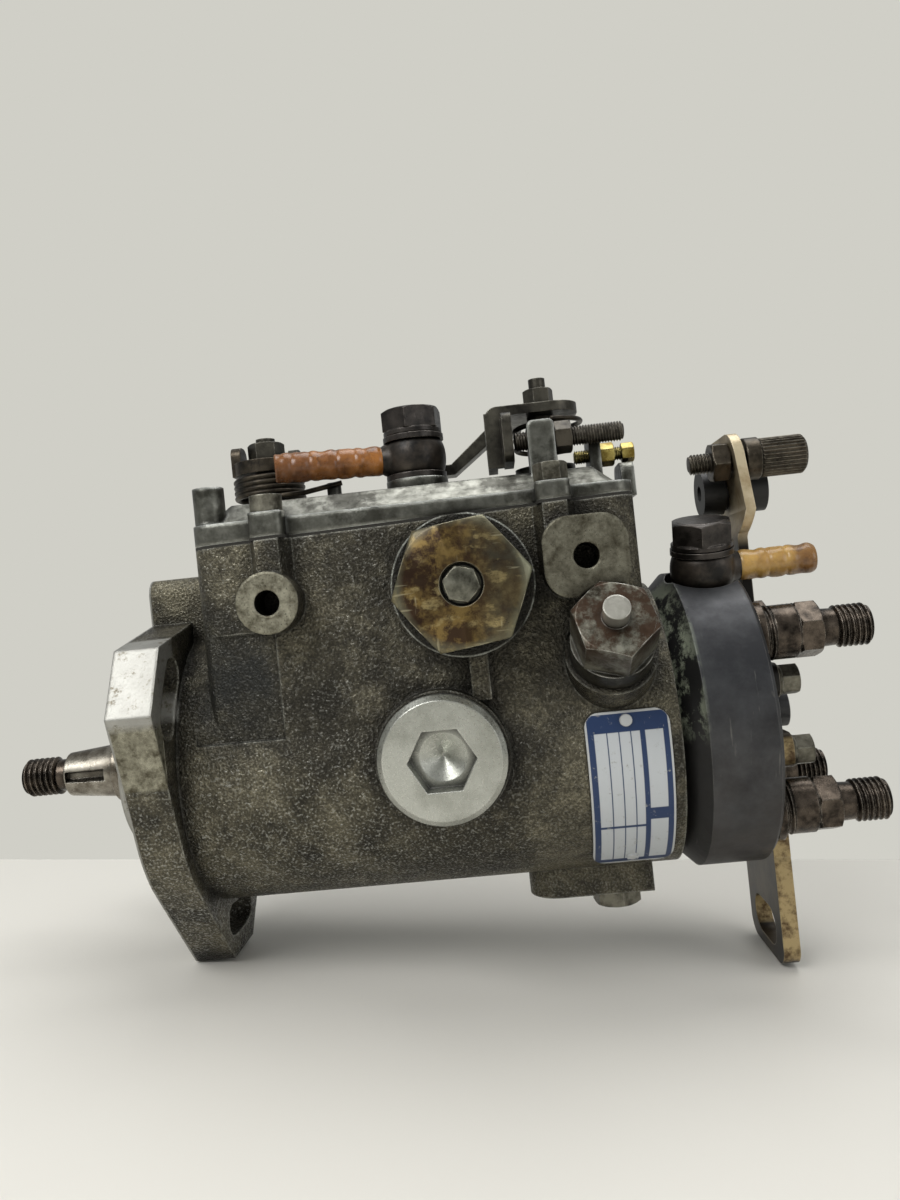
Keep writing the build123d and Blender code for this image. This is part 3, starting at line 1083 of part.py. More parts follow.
# ---------------------------------------------------------------- the pieces
def pieces():
    """Each separate piece under the name of its file."""
    yield "pump_housing", pump_housing()
    yield "governor_cover", governor_cover()
    yield "cover_gasket", cover_gasket()
    yield "cover_screws", cover_screws()
    yield "drive_shaft", drive_shaft()
    yield "shaft_bush", shaft_bush()
    yield "seals", seals()
    yield "flyweight_cage", flyweight_cage()
    for index in range(WEIGHT_COUNT):
        yield f"flyweight_{index + 1}", flyweight(index)
    yield "thrust_sleeve", thrust_sleeve()
    yield "governor_arm", governor_arm()
    yield "governor_link", governor_link()
    yield "metering_valve", metering_valve()
    yield "cam_ring", cam_ring()
    yield "advance_piston", advance_piston()
    yield "distributor_rotor", distributor_rotor()
    for index in range(2):
        yield f"pumping_element_{index + 1}", pumping_element(index)
    yield "hydraulic_head", hydraulic_head()
    yield "transfer_liner", transfer_liner()
    yield "transfer_rotor", transfer_rotor()
    yield "end_plate", end_plate()
    yield "end_plate_screws", end_plate_screws()
    yield "delivery_valve_holders", delivery_valve_holders()
    yield "valve_washers", valve_washers()
    for index in range(len(outlet_places())):
        yield f"delivery_valve_{index + 1}", delivery_valve(index)
    yield "banjo_bolts", banjo_bolts()
    yield "banjo_eyes", banjo_eyes()
    yield "banjo_washers", banjo_washers()
    yield "inlet_hose", hose(0, 22)
    yield "return_hose", hose(1, 32)
    yield "advance_cap", advance_cap()
    yield "advance_plug", advance_plug()
    yield "cam_plug", cam_plug()
    yield "shutoff_solenoid", shutoff_solenoid()
    yield "shutoff_plunger", shutoff_plunger()
    yield "head_locating_bolt", head_locating_bolt()
    yield "name_plate", name_plate()
    yield "rear_bracket", rear_bracket()
    yield "cable_bracket", cable_bracket()
    yield "cable_clamp_stud", cable_clamp_stud()
    yield "rubber_grommet", rubber_grommet()
    yield "throttle_shaft", throttle_shaft()
    yield "throttle_lever", throttle_lever()
    yield "adjusting_screws", adjusting_screws()
    yield "stop_shaft", stop_shaft()
    yield "stop_lever", stop_lever()
    yield "stop_spring", stop_spring()
    yield "throttle_spring", throttle_spring()
    yield "governor_spring", governor_spring()
    yield "advance_spring", advance_spring()
    yield "delivery_springs", delivery_springs()


os.makedirs("parts", exist_ok=True)
for name, piece in pieces():
    solids = piece if isinstance(piece, list) else [piece]
    export_step(Compound(children=solids), f"parts/{name}.step")
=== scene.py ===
import math

import bpy
from mathutils import Matrix, Vector


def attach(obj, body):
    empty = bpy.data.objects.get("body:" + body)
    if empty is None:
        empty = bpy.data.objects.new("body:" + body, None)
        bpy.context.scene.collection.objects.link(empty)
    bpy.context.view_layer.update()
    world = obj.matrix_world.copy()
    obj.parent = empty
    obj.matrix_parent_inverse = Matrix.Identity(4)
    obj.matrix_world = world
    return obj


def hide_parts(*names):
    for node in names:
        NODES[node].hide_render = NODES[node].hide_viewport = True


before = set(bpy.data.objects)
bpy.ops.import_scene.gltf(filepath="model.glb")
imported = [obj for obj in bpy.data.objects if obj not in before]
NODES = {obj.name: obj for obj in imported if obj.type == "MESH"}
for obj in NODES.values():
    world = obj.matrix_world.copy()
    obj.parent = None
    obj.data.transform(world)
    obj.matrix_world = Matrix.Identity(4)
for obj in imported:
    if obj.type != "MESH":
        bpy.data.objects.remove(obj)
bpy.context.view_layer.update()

MM = 0.001

# The camera and the table stand level in the room, and the pump leans in it, nose down. These are the
# pump's own axes, given in the room's right, forward and up. Lengths in the room are metres.
LEAN = math.radians(5.92)
TURN = math.radians(3.0)
PUMP_X = Vector((math.cos(LEAN) * math.cos(TURN), -math.cos(LEAN) * math.sin(TURN), math.sin(LEAN)))
PUMP_Z = Vector((-math.sin(LEAN) * math.cos(TURN), math.sin(LEAN) * math.sin(TURN), math.cos(LEAN)))
PUMP_Y = PUMP_Z.cross(PUMP_X)
ROOM = Matrix((PUMP_X, PUMP_Y, PUMP_Z))
EYE = Vector((103.5, -282.6, 41.6)) * MM
TABLE_DROP = -0.1118
TABLE_DEPTH = 0.388

# Places on the pump that a material and a detailed piece share, in millimetres of the row frame.
CAP_X, CAP_Z = 95, 46.5
CAP_SCREW_HOLE = 5.6


def from_camera(at):
    """A place given in room directions, measured from the camera, as a point of the row frame."""
    return EYE + ROOM @ Vector(at)


def room_matrix(at=(0, 0, 0)):
    """Stands something level in the room, at a place measured from the camera."""
    return Matrix.Translation(from_camera(at)) @ ROOM.to_4x4()


# ---------------------------------------------------------------- materials
def linear(rgb):
    """A colour of 0 to 255 steps as the shader takes it."""
    shares = [c / 255 for c in rgb]
    return [c / 12.92 if c <= 0.04045 else ((c + 0.055) / 1.055) ** 2.4 for c in shares] + [1.0]


class Shader:
    """One material, with short ways to add and join its nodes.

    Limits, radii and depths are given in millimetres of the row frame, colours in 0 to 255 steps, and
    a noise's scale is how many of its blots fit in a metre.
    """

    def __init__(self, name):
        self.material = bpy.data.materials.new(name)
        self.material.use_nodes = True
        self.tree = self.material.node_tree
        self.surface = self.tree.nodes["Principled BSDF"]
        self.place = self.add("ShaderNodeTexCoord").outputs["Object"]

    def add(self, kind, **settings):
        node = self.tree.nodes.new(kind)
        for key, value in settings.items():
            setattr(node, key, value)
        return node

    def join(self, source, target):
        self.tree.links.new(source, target)

    def put(self, value, target):
        """A number, a colour or another node's output into a socket."""
        if isinstance(value, bpy.types.NodeSocket):
            self.join(value, target)
        else:
            target.default_value = linear(value) if isinstance(value, tuple) else value

    def noise(self, scale, detail=4.0, rough=0.6, stretch=None, distortion=0.0):
        node = self.add("ShaderNodeTexNoise")
        node.inputs["Scale"].default_value = scale
        node.inputs["Detail"].default_value = detail
        node.inputs["Roughness"].default_value = rough
        node.inputs["Distortion"].default_value = distortion
        place = self.place
        if stretch:
            mapping = self.add("ShaderNodeMapping")
            mapping.inputs["Scale"].default_value = stretch
            self.join(place, mapping.inputs["Vector"])
            place = mapping.outputs["Vector"]
        self.join(place, node.inputs["Vector"])
        return node.outputs["Fac"]

    def pebbles(self, scale):
        """Rounded cells: 0 in the lines between them and higher on their tops."""
        node = self.add("ShaderNodeTexVoronoi", feature="DISTANCE_TO_EDGE")
        node.inputs["Scale"].default_value = scale
        self.join(self.place, node.inputs["Vector"])
        return node.outputs["Distance"]

    def span(self, value, low, high, to_low=0.0, to_high=1.0):
        """Maps a range of a value to another, and holds it at the ends."""
        node = self.add("ShaderNodeMapRange", clamp=True)
        self.put(value, node.inputs["Value"])
        for key, number in (("From Min", low), ("From Max", high), ("To Min", to_low), ("To Max", to_high)):
            node.inputs[key].default_value = number
        return node.outputs["Result"]

    def math(self, kind, a, b=0.0):
        node = self.add("ShaderNodeMath", operation=kind)
        self.put(a, node.inputs[0])
        self.put(b, node.inputs[1])
        return node.outputs[0]

    def times(self, a, b):
        return self.math("MULTIPLY", a, b)

    def plus(self, a, b):
        return self.math("ADD", a, b)

    def either(self, a, b):
        """The greater of two shares."""
        return self.math("MAXIMUM", a, b)

    def outside(self, share):
        """What a share leaves of 1."""
        return self.math("SUBTRACT", 1.0, share)

    def mix(self, share, a, b):
        node = self.add("ShaderNodeMix", data_type="RGBA")
        self.put(share, node.inputs["Factor"])
        self.put(a, node.inputs["A"])
        self.put(b, node.inputs["B"])
        return node.outputs["Result"]

    def axis(self, name):
        node = self.add("ShaderNodeSeparateXYZ")
        self.join(self.place, node.inputs[0])
        return node.outputs[name]

    def facing(self, name):
        """One part of the surface's own direction, in the row frame at rest."""
        node = self.add("ShaderNodeSeparateXYZ")
        self.join(self.add("ShaderNodeTexCoord").outputs["Normal"], node.inputs[0])
        return node.outputs[name]

    def off_axis(self, x, z):
        """Distance from a line that runs along Y."""
        dx = self.math("SUBTRACT", self.axis("X"), x * MM)
        dz = self.math("SUBTRACT", self.axis("Z"), z * MM)
        return self.math("SQRT", self.plus(self.times(dx, dx), self.times(dz, dz)))

    def ramp(self, distance, start, end, at_start, at_end):
        """Maps a stretch of a distance to a range of shares."""
        return self.span(distance, start * MM, end * MM, at_start, at_end)

    def over(self, distance, limit, soft=0.4):
        """1 where a distance is past a limit, 0 short of it, and a soft step between."""
        return self.ramp(distance, limit - soft, limit + soft, 0.0, 1.0)

    def under(self, distance, limit, soft=0.4):
        """1 where a distance is short of a limit, 0 past it, and a soft step between."""
        return self.ramp(distance, limit - soft, limit + soft, 1.0, 0.0)

    def between(self, distance, low, high, soft=0.4):
        """1 where a distance lies between two limits, else 0."""
        return self.times(self.over(distance, low, soft), self.under(distance, high, soft))

    def worn_edge(self, radius, patches=None):
        """1 along sharp edges, cut to patches if given, and the rounded direction of the surface there."""
        bevel = self.add("ShaderNodeBevel", samples=6)
        bevel.inputs["Radius"].default_value = radius * MM
        dot = self.add("ShaderNodeVectorMath", operation="DOT_PRODUCT")
        self.join(bevel.outputs["Normal"], dot.inputs[0])
        self.join(self.add("ShaderNodeNewGeometry").outputs["Normal"], dot.inputs[1])
        edge = self.span(self.outside(dot.outputs["Value"]), 0.03, 0.22)
        if patches is not None:
            edge = self.times(edge, patches)
        return edge, bevel.outputs["Normal"]

    def crevice(self, reach, low=0.5, high=0.9, share=0.85):
        """How deep in a corner the surface lies, for the oil and the painted shade put there."""
        node = self.add("ShaderNodeAmbientOcclusion", samples=8)
        node.inputs["Distance"].default_value = reach * MM
        return self.span(node.outputs["AO"], low, high, share, 0.0)

    def bump(self, height, depth, under=None):
        """A relief of the given depth, on a rounded direction of the surface where one is given."""
        node = self.add("ShaderNodeBump")
        node.inputs["Strength"].default_value = 1.0
        node.inputs["Distance"].default_value = depth * MM
        self.put(height, node.inputs["Height"])
        if under is not None:
            self.join(under, node.inputs["Normal"])
        return node.outputs["Normal"]

    def finish(self, colour, rough, metal, normal=None):
        self.put(colour, self.surface.inputs["Base Color"])
        self.put(rough, self.surface.inputs["Roughness"])
        self.put(metal, self.surface.inputs["Metallic"])
        if normal is not None:
            self.join(normal, self.surface.inputs["Normal"])
        return self.material


# Near black for corners: oil, and painted shade.
OIL_SHADE_TONE = (18, 15, 11)


def worn_metal(name, stained, clean, rubbed, rough, metal, patch, grain, depth, low=0.38, high=0.62):
    """Metal with stained patches, a fine grain, edges that handling has polished, and oil and painted shade
    in its corners.
    """
    s = Shader(name)
    colour = s.mix(s.span(s.noise(patch, 6, 0.65), low, high), stained, clean)
    wear, rounded = s.worn_edge(0.5, s.span(s.noise(patch * 4, 3), 0.35, 0.6, 0.1, 0.7))
    colour = s.mix(wear, colour, rubbed)
    # Painted shade, with oil, deep in the corners.
    colour = s.mix(s.crevice(3.5, 0.45, 0.88, 0.8), colour, OIL_SHADE_TONE)
    fine = s.noise(grain, 4, 0.7)
    roughness = s.span(fine, 0.3, 0.7, rough - 0.1, rough + 0.12)
    return s.finish(colour, roughness, metal, s.bump(fine, depth, rounded))


# The marks on the housing. The pocket lies behind the flange, the collar and the rim are round the
# advance cap, and the two tapped bosses are the housing's nearest faces to the camera. The bright band
# on the near lug lies in LUG_X, above LUG_FROM and nearer than LUG_NEAR.
POCKET_X = (19.5, 41.5)
POCKET_Z = (12, 42)
COLLAR_RADIUS = 22.4
COLLAR_FACE = -46.25
RIM_RADII = (18.6, 19.1)
BOSS_FACE = -49.75
BETWEEN_BOSSES = 75
LUG_X = (-20, 12.5)
LUG_FROM = 18.25
LUG_NEAR = -37
MOUNTING_FACE = 0.55
CRISP = 0.1


def cast_colour(s, grain, pebbles):
    """Bare casting: stained and sooty, with pale specks of dust and painted highlight on the crests of its
    grain, most of them low down and at the front, and painted shade with oil in the pocket behind the
    flange.
    """
    stain = s.span(s.noise(60, 6, 0.72), 0.38, 0.62)
    soot = s.span(s.noise(26, 6, 0.7), 0.45, 0.57)
    tone = s.mix(stain, (58, 55, 46), (126, 120, 100))
    tone = s.mix(s.times(soot, 0.72), tone, (36, 33, 26))
    colour = s.mix(s.span(grain, 0.38, 0.60, 0.5, 1.0), (28, 26, 20), tone)
    colour = s.mix(s.span(pebbles, 0.5, 0.0, 0.0, 0.3), colour, (26, 24, 19))
    dusty = s.times(s.ramp(s.axis("Z"), 12, -30, 0.15, 0.75), s.ramp(s.axis("X"), 120, 60, 0.3, 1.0))
    # Pale specks on the crests of the grain: dust, and painted highlight.
    dust_and_highlight = s.times(s.span(grain, 0.56, 0.70), s.plus(dusty, 0.05))
    colour = s.mix(dust_and_highlight, colour, (184, 185, 178))
    # Painted shade, with oil, in the pocket behind the flange.
    pocket = s.times(s.between(s.axis("X"), *POCKET_X, 2.2), s.between(s.axis("Z"), *POCKET_Z, 10))
    oil_and_shade = s.times(pocket, s.span(s.noise(90, 4), 0.3, 0.6, 0.3, 0.75))
    return s.mix(oil_and_shade, colour, (34, 36, 36))


def round_the_cap(s, colour, wear):
    """The collar round the advance cap, nearly black, and a thin ring of painted highlight on the rim next
    to the cap.
    """
    away = s.off_axis(CAP_X, CAP_Z)
    proud = s.under(s.axis("Y"), COLLAR_FACE, 0.25)
    collar = s.times(s.under(away, COLLAR_RADIUS, 0.2), proud)
    colour = s.mix(s.times(collar, s.span(wear, 0.0, 0.3, 0.85, 0.2)), colour, (22, 21, 17))
    # A painted highlight: a thin bright ring, broken in places.
    rim = s.times(s.between(away, *RIM_RADII, CRISP), proud)
    return s.mix(s.times(rim, s.span(s.noise(160, 4), 0.38, 0.58, 0.1, 0.75)), colour, (160, 162, 154))


def boss_colour(s):
    """The faces of the tapped bosses, rubbed pale; the rear one is darker."""
    rubbed = s.mix(s.span(s.noise(240, 6, 0.7), 0.36, 0.62), (72, 67, 52), (158, 155, 137))
    front = s.under(s.axis("X"), BETWEEN_BOSSES, 5)
    return s.mix(s.math("SUBTRACT", 0.5, s.times(front, 0.5)), rubbed, (66, 63, 52))


def machined(s):
    """1 on the bright band along the edge of the near lug and on the mounting face."""
    band = s.times(s.between(s.axis("X"), *LUG_X), s.over(s.axis("Z"), LUG_FROM, 1.25))
    band = s.times(band, s.under(s.axis("Y"), LUG_NEAR, 1))
    return s.either(band, s.under(s.axis("X"), MOUNTING_FACE, 0.15))


def housing_skin(name):
    """Sand-cast aluminium: a pebbled skin with oil and painted shade in its hollows, and rubbed high spots.
    """
    s = Shader(name)
    grain = s.noise(1500, 2, 0.5)
    pebbles = s.span(s.pebbles(1000), 0.0, 0.3)
    wear, rounded = s.worn_edge(1.2, s.span(s.noise(200, 4), 0.38, 0.6, 0.05, 0.8))
    # Painted shade with oil: near black deep in corners, where the pale boss faces show less too.
    hollow_shade_and_oil = s.crevice(7)
    colour = s.mix(wear, cast_colour(s, grain, pebbles), (176, 175, 164))
    colour = round_the_cap(s, s.mix(hollow_shade_and_oil, colour, (20, 18, 13)), wear)
    boss = s.under(s.axis("Y"), BOSS_FACE, 0.15)
    colour = s.mix(s.times(boss, s.span(hollow_shade_and_oil, 0.0, 0.8, 1.0, 0.2)), colour, boss_colour(s))
    cut = machined(s)
    pits = s.span(s.noise(300, 6, 0.75), 0.34, 0.44)
    bright = s.mix(pits, (104, 98, 84), s.mix(s.noise(110, 4), (136, 135, 129), (176, 175, 169)))
    colour = s.mix(cut, colour, bright)
    rough = s.either(s.span(grain, 0.4, 0.65, 0.5, 0.27), s.times(cut, 0.46))
    smooth = s.either(cut, s.times(boss, 0.8))
    height = s.plus(s.plus(grain, s.times(s.noise(420, 3, 0.6), 0.9)), s.times(pebbles, 0.2))
    height = s.mix(smooth, height, s.times(s.noise(900, 3, 0.6), 0.2))
    return s.finish(colour, rough, s.span(smooth, 0, 1, 0.62, 0.75), s.bump(height, 0.5, rounded))


def cover_skin(name):
    """Cast aluminium cover, smooth and bright where it is rubbed, with painted highlights along its edges,
    painted shade on its steep sides and oil with painted shade in its corners.
    """
    s = Shader(name)
    colour = s.mix(s.span(s.noise(300, 5, 0.6), 0.34, 0.66), (104, 104, 96), (160, 160, 151))
    blot = s.span(s.noise(52, 6, 0.72), 0.50, 0.58)
    colour = s.mix(s.times(blot, 0.75), colour, (44, 42, 34))
    # Painted shade: the steep sides darker than the top.
    side_shade = s.span(s.facing("Z"), 0.75, 0.35)
    colour = s.mix(s.times(side_shade, 0.6), colour, (56, 56, 50))
    # Rubbed edges, bright with wear and with a painted highlight along the shoulder.
    wear, rounded = s.worn_edge(1.8, s.span(s.noise(160, 4), 0.38, 0.6, 0.25, 0.9))
    colour = s.mix(wear, colour, (200, 202, 195))
    # A thin painted highlight along the sharp edges.
    line = s.worn_edge(0.6, s.span(s.noise(90, 3), 0.35, 0.55, 0.3, 0.95))[0]
    colour = s.mix(line, colour, (222, 224, 218))
    # Painted shade, with oil, deep in the corners.
    colour = s.mix(s.crevice(6, 0.55, 0.93, 0.9), colour, (20, 19, 15))
    fine = s.noise(700, 3)
    height = s.plus(fine, s.times(s.noise(180, 3), 1.5))
    return s.finish(colour, s.span(fine, 0.3, 0.7, 0.29, 0.44), 0.85, s.bump(height, 0.12, rounded))


def cap_skin(name):
    """A hexagon cap in old yellow plating, worn to brown; its small screw is grey, with painted shade in
    the recess round it.
    """
    s = Shader(name)
    x, away = s.axis("X"), s.off_axis(CAP_X, CAP_Z)
    colour = s.mix(s.span(s.noise(100, 5, 0.65), 0.43, 0.57), (50, 35, 20), (120, 99, 56))
    colour = s.mix(s.times(s.over(x, CAP_X + 4.5, 3.5), 0.6), colour, (74, 73, 60))
    pale = s.times(s.span(s.noise(190, 5, 0.6, (0.6, 1.0, 1.4)), 0.56, 0.63), 0.7)
    colour = s.mix(pale, colour, (158, 142, 98))
    brown_side = s.ramp(x, CAP_X + 12, CAP_X - 2, 0.5, 0.95)
    brown = s.times(s.span(s.noise(75, 6, 0.75), 0.44, 0.53), brown_side)
    colour = s.mix(brown, colour, (48, 31, 19))
    corners = s.times(s.over(away, 16, 1.5), s.span(s.noise(80, 4), 0.4, 0.6, 0.35, 0.95))
    colour = s.mix(corners, colour, (126, 127, 106))
    for stretch in ((7.0, 0.4, 0.9), (0.9, 0.4, 8.0)):
        scratch = s.span(s.noise(90, 2, 0.5, stretch), 0.66, 0.71)
        colour = s.mix(s.times(scratch, 0.35), colour, (190, 182, 150))
    screw = s.mix(s.span(s.noise(260, 4), 0.35, 0.65), (62, 61, 52), (128, 127, 114))
    colour = s.mix(s.over(away, CAP_SCREW_HOLE - 0.3, CRISP), screw, colour)
    # Painted shade in the recess round the screw.
    colour = s.mix(s.between(away, CAP_SCREW_HOLE - 0.7, CAP_SCREW_HOLE, CRISP), colour, (14, 12, 9))
    wear, rounded = s.worn_edge(0.5, s.span(s.noise(240, 4), 0.36, 0.6, 0.35, 1.0))
    colour = s.mix(wear, colour, (220, 214, 188))
    fine = s.noise(500, 4)
    return s.finish(colour, s.span(fine, 0.3, 0.7, 0.26, 0.42), 0.7, s.bump(fine, 0.05, rounded))


def head_skin(name):
    """Dark phosphated steel with oil haze, browner and darker towards the bottom with oil and painted
    shade, scratches and smears of pale paint near its front edge.
    """
    s = Shader(name)
    x, z = s.axis("X"), s.axis("Z")
    haze = s.span(s.noise(60, 6, 0.65), 0.36, 0.66)
    colour = s.mix(haze, (38, 39, 42), (70, 71, 73))
    # Browner and darker towards the bottom: oil, and painted shade.
    oil_and_shade = s.times(s.ramp(z, 15, -30, 0.0, 0.6), s.span(s.noise(45, 5), 0.35, 0.6, 0.3, 1.0))
    colour = s.mix(oil_and_shade, colour, (52, 45, 38))
    chamfer = s.span(s.facing("X"), -0.25, -0.45)
    colour = s.mix(s.times(chamfer, 0.75), colour, (20, 19, 17))
    paint = s.span(s.noise(110, 6, 0.75, (1.4, 0.7, 0.7)), 0.46, 0.55)
    painted = s.times(s.between(z, 2, 40, 4), s.under(x, 154.25, 1.75))
    colour = s.mix(s.times(s.times(paint, painted), 0.85), colour, (172, 180, 158))
    scratch = s.span(s.noise(70, 4, 0.6, (6.0, 0.8, 0.8), 0.8), 0.66, 0.74)
    colour = s.mix(s.times(scratch, 0.3), colour, (140, 138, 130))
    wear, rounded = s.worn_edge(0.5, s.span(s.noise(160, 4), 0.4, 0.6, 0.2, 0.9))
    colour = s.mix(wear, colour, (144, 143, 138))
    return s.finish(colour, s.span(haze, 0, 1, 0.5, 0.36), 0.5, s.bump(s.noise(700, 3), 0.03, rounded))


def strip_finish(s, colour, rubbed):
    """What the two pressed strips share: half-worn edges and a fine grain."""
    wear, rounded = s.worn_edge(0.5, 0.5)
    return s.finish(s.mix(wear, colour, rubbed), 0.42, 0.5, s.bump(s.noise(500, 3), 0.05, rounded))


def bracket_skin(name):
    """A pale plated strip, its faces darker with oil and painted shade, and its foot black."""
    s = Shader(name)
    pale = s.mix(s.span(s.noise(110, 5, 0.65), 0.36, 0.62), (150, 128, 92), (200, 186, 156))
    # Oil and painted shade on the faces.
    face = s.times(s.span(s.math("ABSOLUTE", s.facing("X")), 0.5, 0.7),
                   s.span(s.noise(70, 4), 0.35, 0.6, 0.35, 0.7))
    colour = s.mix(face, pale, (84, 70, 50))
    colour = s.mix(s.under(s.axis("Z"), 53, 3), colour, (28, 25, 21))
    return strip_finish(s, colour, (216, 206, 182))


def foot_skin(name):
    """The rear support: a dark oily face and an edge that still shows its yellow plating."""
    s = Shader(name)
    face = s.mix(s.span(s.noise(80, 5), 0.38, 0.6), (32, 27, 21), (66, 56, 42))
    plating = s.mix(s.span(s.noise(150, 6, 0.7), 0.40, 0.55), (84, 64, 40), (172, 152, 110))
    edge = s.span(s.math("ABSOLUTE", s.facing("Y")), 0.6, 0.8)
    return strip_finish(s, s.mix(edge, face, plating), (196, 182, 150))


# Which way the solenoid points, in Y and Z: 60 degrees off upright, towards the near side.
SOLENOID_WAY = (-0.866, 0.5)


def solenoid_skin(name):
    """Plated steel, rusty round the top, with a bright terminal, a black foot, and oil and painted shade in
    its corners.
    """
    s = Shader(name)
    up = s.plus(s.times(s.axis("Y"), SOLENOID_WAY[0]), s.times(s.axis("Z"), SOLENOID_WAY[1]))
    colour = s.mix(s.span(s.noise(150, 6, 0.7), 0.38, 0.58), (44, 39, 29), (138, 137, 124))
    rust = s.times(s.span(s.noise(120, 5, 0.7), 0.36, 0.50), s.ramp(up, 60, 67, 0.2, 0.95))
    colour = s.mix(rust, colour, (60, 43, 30))
    colour = s.mix(s.ramp(up, 58, 56.5, 0.0, 0.8), colour, (24, 22, 17))
    colour = s.mix(s.over(up, 69.65, 0.15), colour, (158, 156, 147))
    wear, rounded = s.worn_edge(0.6, s.span(s.noise(300, 4), 0.36, 0.58, 0.2, 0.9))
    colour = s.mix(wear, colour, (214, 213, 204))
    # Painted shade, with oil, deep in the corners.
    colour = s.mix(s.crevice(3.5, 0.45, 0.88, 0.85), colour, OIL_SHADE_TONE)
    fine = s.noise(700, 4, 0.7)
    return s.finish(colour, s.span(fine, 0.3, 0.7, 0.28, 0.46), 0.75, s.bump(fine, 0.07, rounded))


def plain(name, rgb, rough):
    return Shader(name).finish(rgb, rough, 0.0)


def amber(name, pale, deep):
    """Aged clear plastic hose, amber, deeper towards its cut end."""
    s = Shader(name)
    x = s.axis("X")
    colour = s.mix(s.span(s.noise(110, 5, 0.65), 0.36, 0.64), deep, pale)
    cut_end = s.either(s.under(x, 52.5, 1), s.over(x, 190.5, 1.5))
    colour = s.mix(s.times(cut_end, 0.6), colour, (96, 60, 36))
    stain = s.span(s.noise(240, 6, 0.7), 0.56, 0.66)
    colour = s.mix(s.times(stain, 0.55), colour, (66, 38, 20))
    s.surface.inputs["Subsurface Weight"].default_value = 0.15
    s.surface.inputs["Subsurface Radius"].default_value = (3 * MM, 2 * MM, 1 * MM)
    s.surface.inputs["Subsurface Scale"].default_value = 0.6
    rough = s.span(s.noise(300, 3), 0.3, 0.7, 0.2, 0.36)
    return s.finish(colour, rough, 0.0, s.bump(s.noise(260, 3), 0.04))


# The rating plate: where its print, its white field, its rules and its rivets lie.
PRINT_X, PRINT_Z = (123.5, 144.9), (-36.4, 8.4)
FIELD_X, FIELD_Z = (125.2, 143.4), (-35.0, 3.5)
BAND_X = 138.0
RULES = ((128.6, 0.15), (131.8, 0.15), (134.9, 0.15), (BAND_X, 0.7))
NARROW_BAND = (-23.6, -22.9)
WIDE_BAND = (-21.5, -18.0)
RIVET_X = 134
RIVETS = ((6.5, 1.6), (-34, 1.3))


def plate_print(name):
    """A blank rating plate: a blue border and bands, plain white fields and rules."""
    s = Shader(name)
    x, z = s.axis("X"), s.axis("Z")
    white = s.times(s.between(x, *FIELD_X, CRISP), s.between(z, *FIELD_Z, CRISP))
    for rule, half in RULES:
        white = s.times(white, s.outside(s.between(x, rule - half, rule + half, CRISP)))
    bands = s.either(s.times(s.between(z, *NARROW_BAND, CRISP), s.under(x, BAND_X, CRISP)),
                     s.times(s.between(z, *WIDE_BAND, CRISP), s.over(x, BAND_X, CRISP)))
    white = s.times(white, s.outside(bands))
    colour = s.mix(white, (28, 50, 88), (186, 190, 193))
    inside = s.times(s.between(x, *PRINT_X, CRISP), s.between(z, *PRINT_Z, CRISP))
    rivets = s.either(*[s.under(s.off_axis(RIVET_X, at), radius, CRISP) for at, radius in RIVETS])
    colour = s.mix(s.either(s.outside(inside), rivets), colour, (184, 186, 186))
    scuffs = s.span(s.noise(420, 6, 0.75), 0.60, 0.68)
    colour = s.mix(scuffs, colour, (150, 150, 146))
    wear, rounded = s.worn_edge(0.4)
    colour = s.mix(wear, colour, (190, 190, 186))
    return s.finish(colour, 0.38, 0.15, s.bump(s.noise(300, 3), 0.03, rounded))


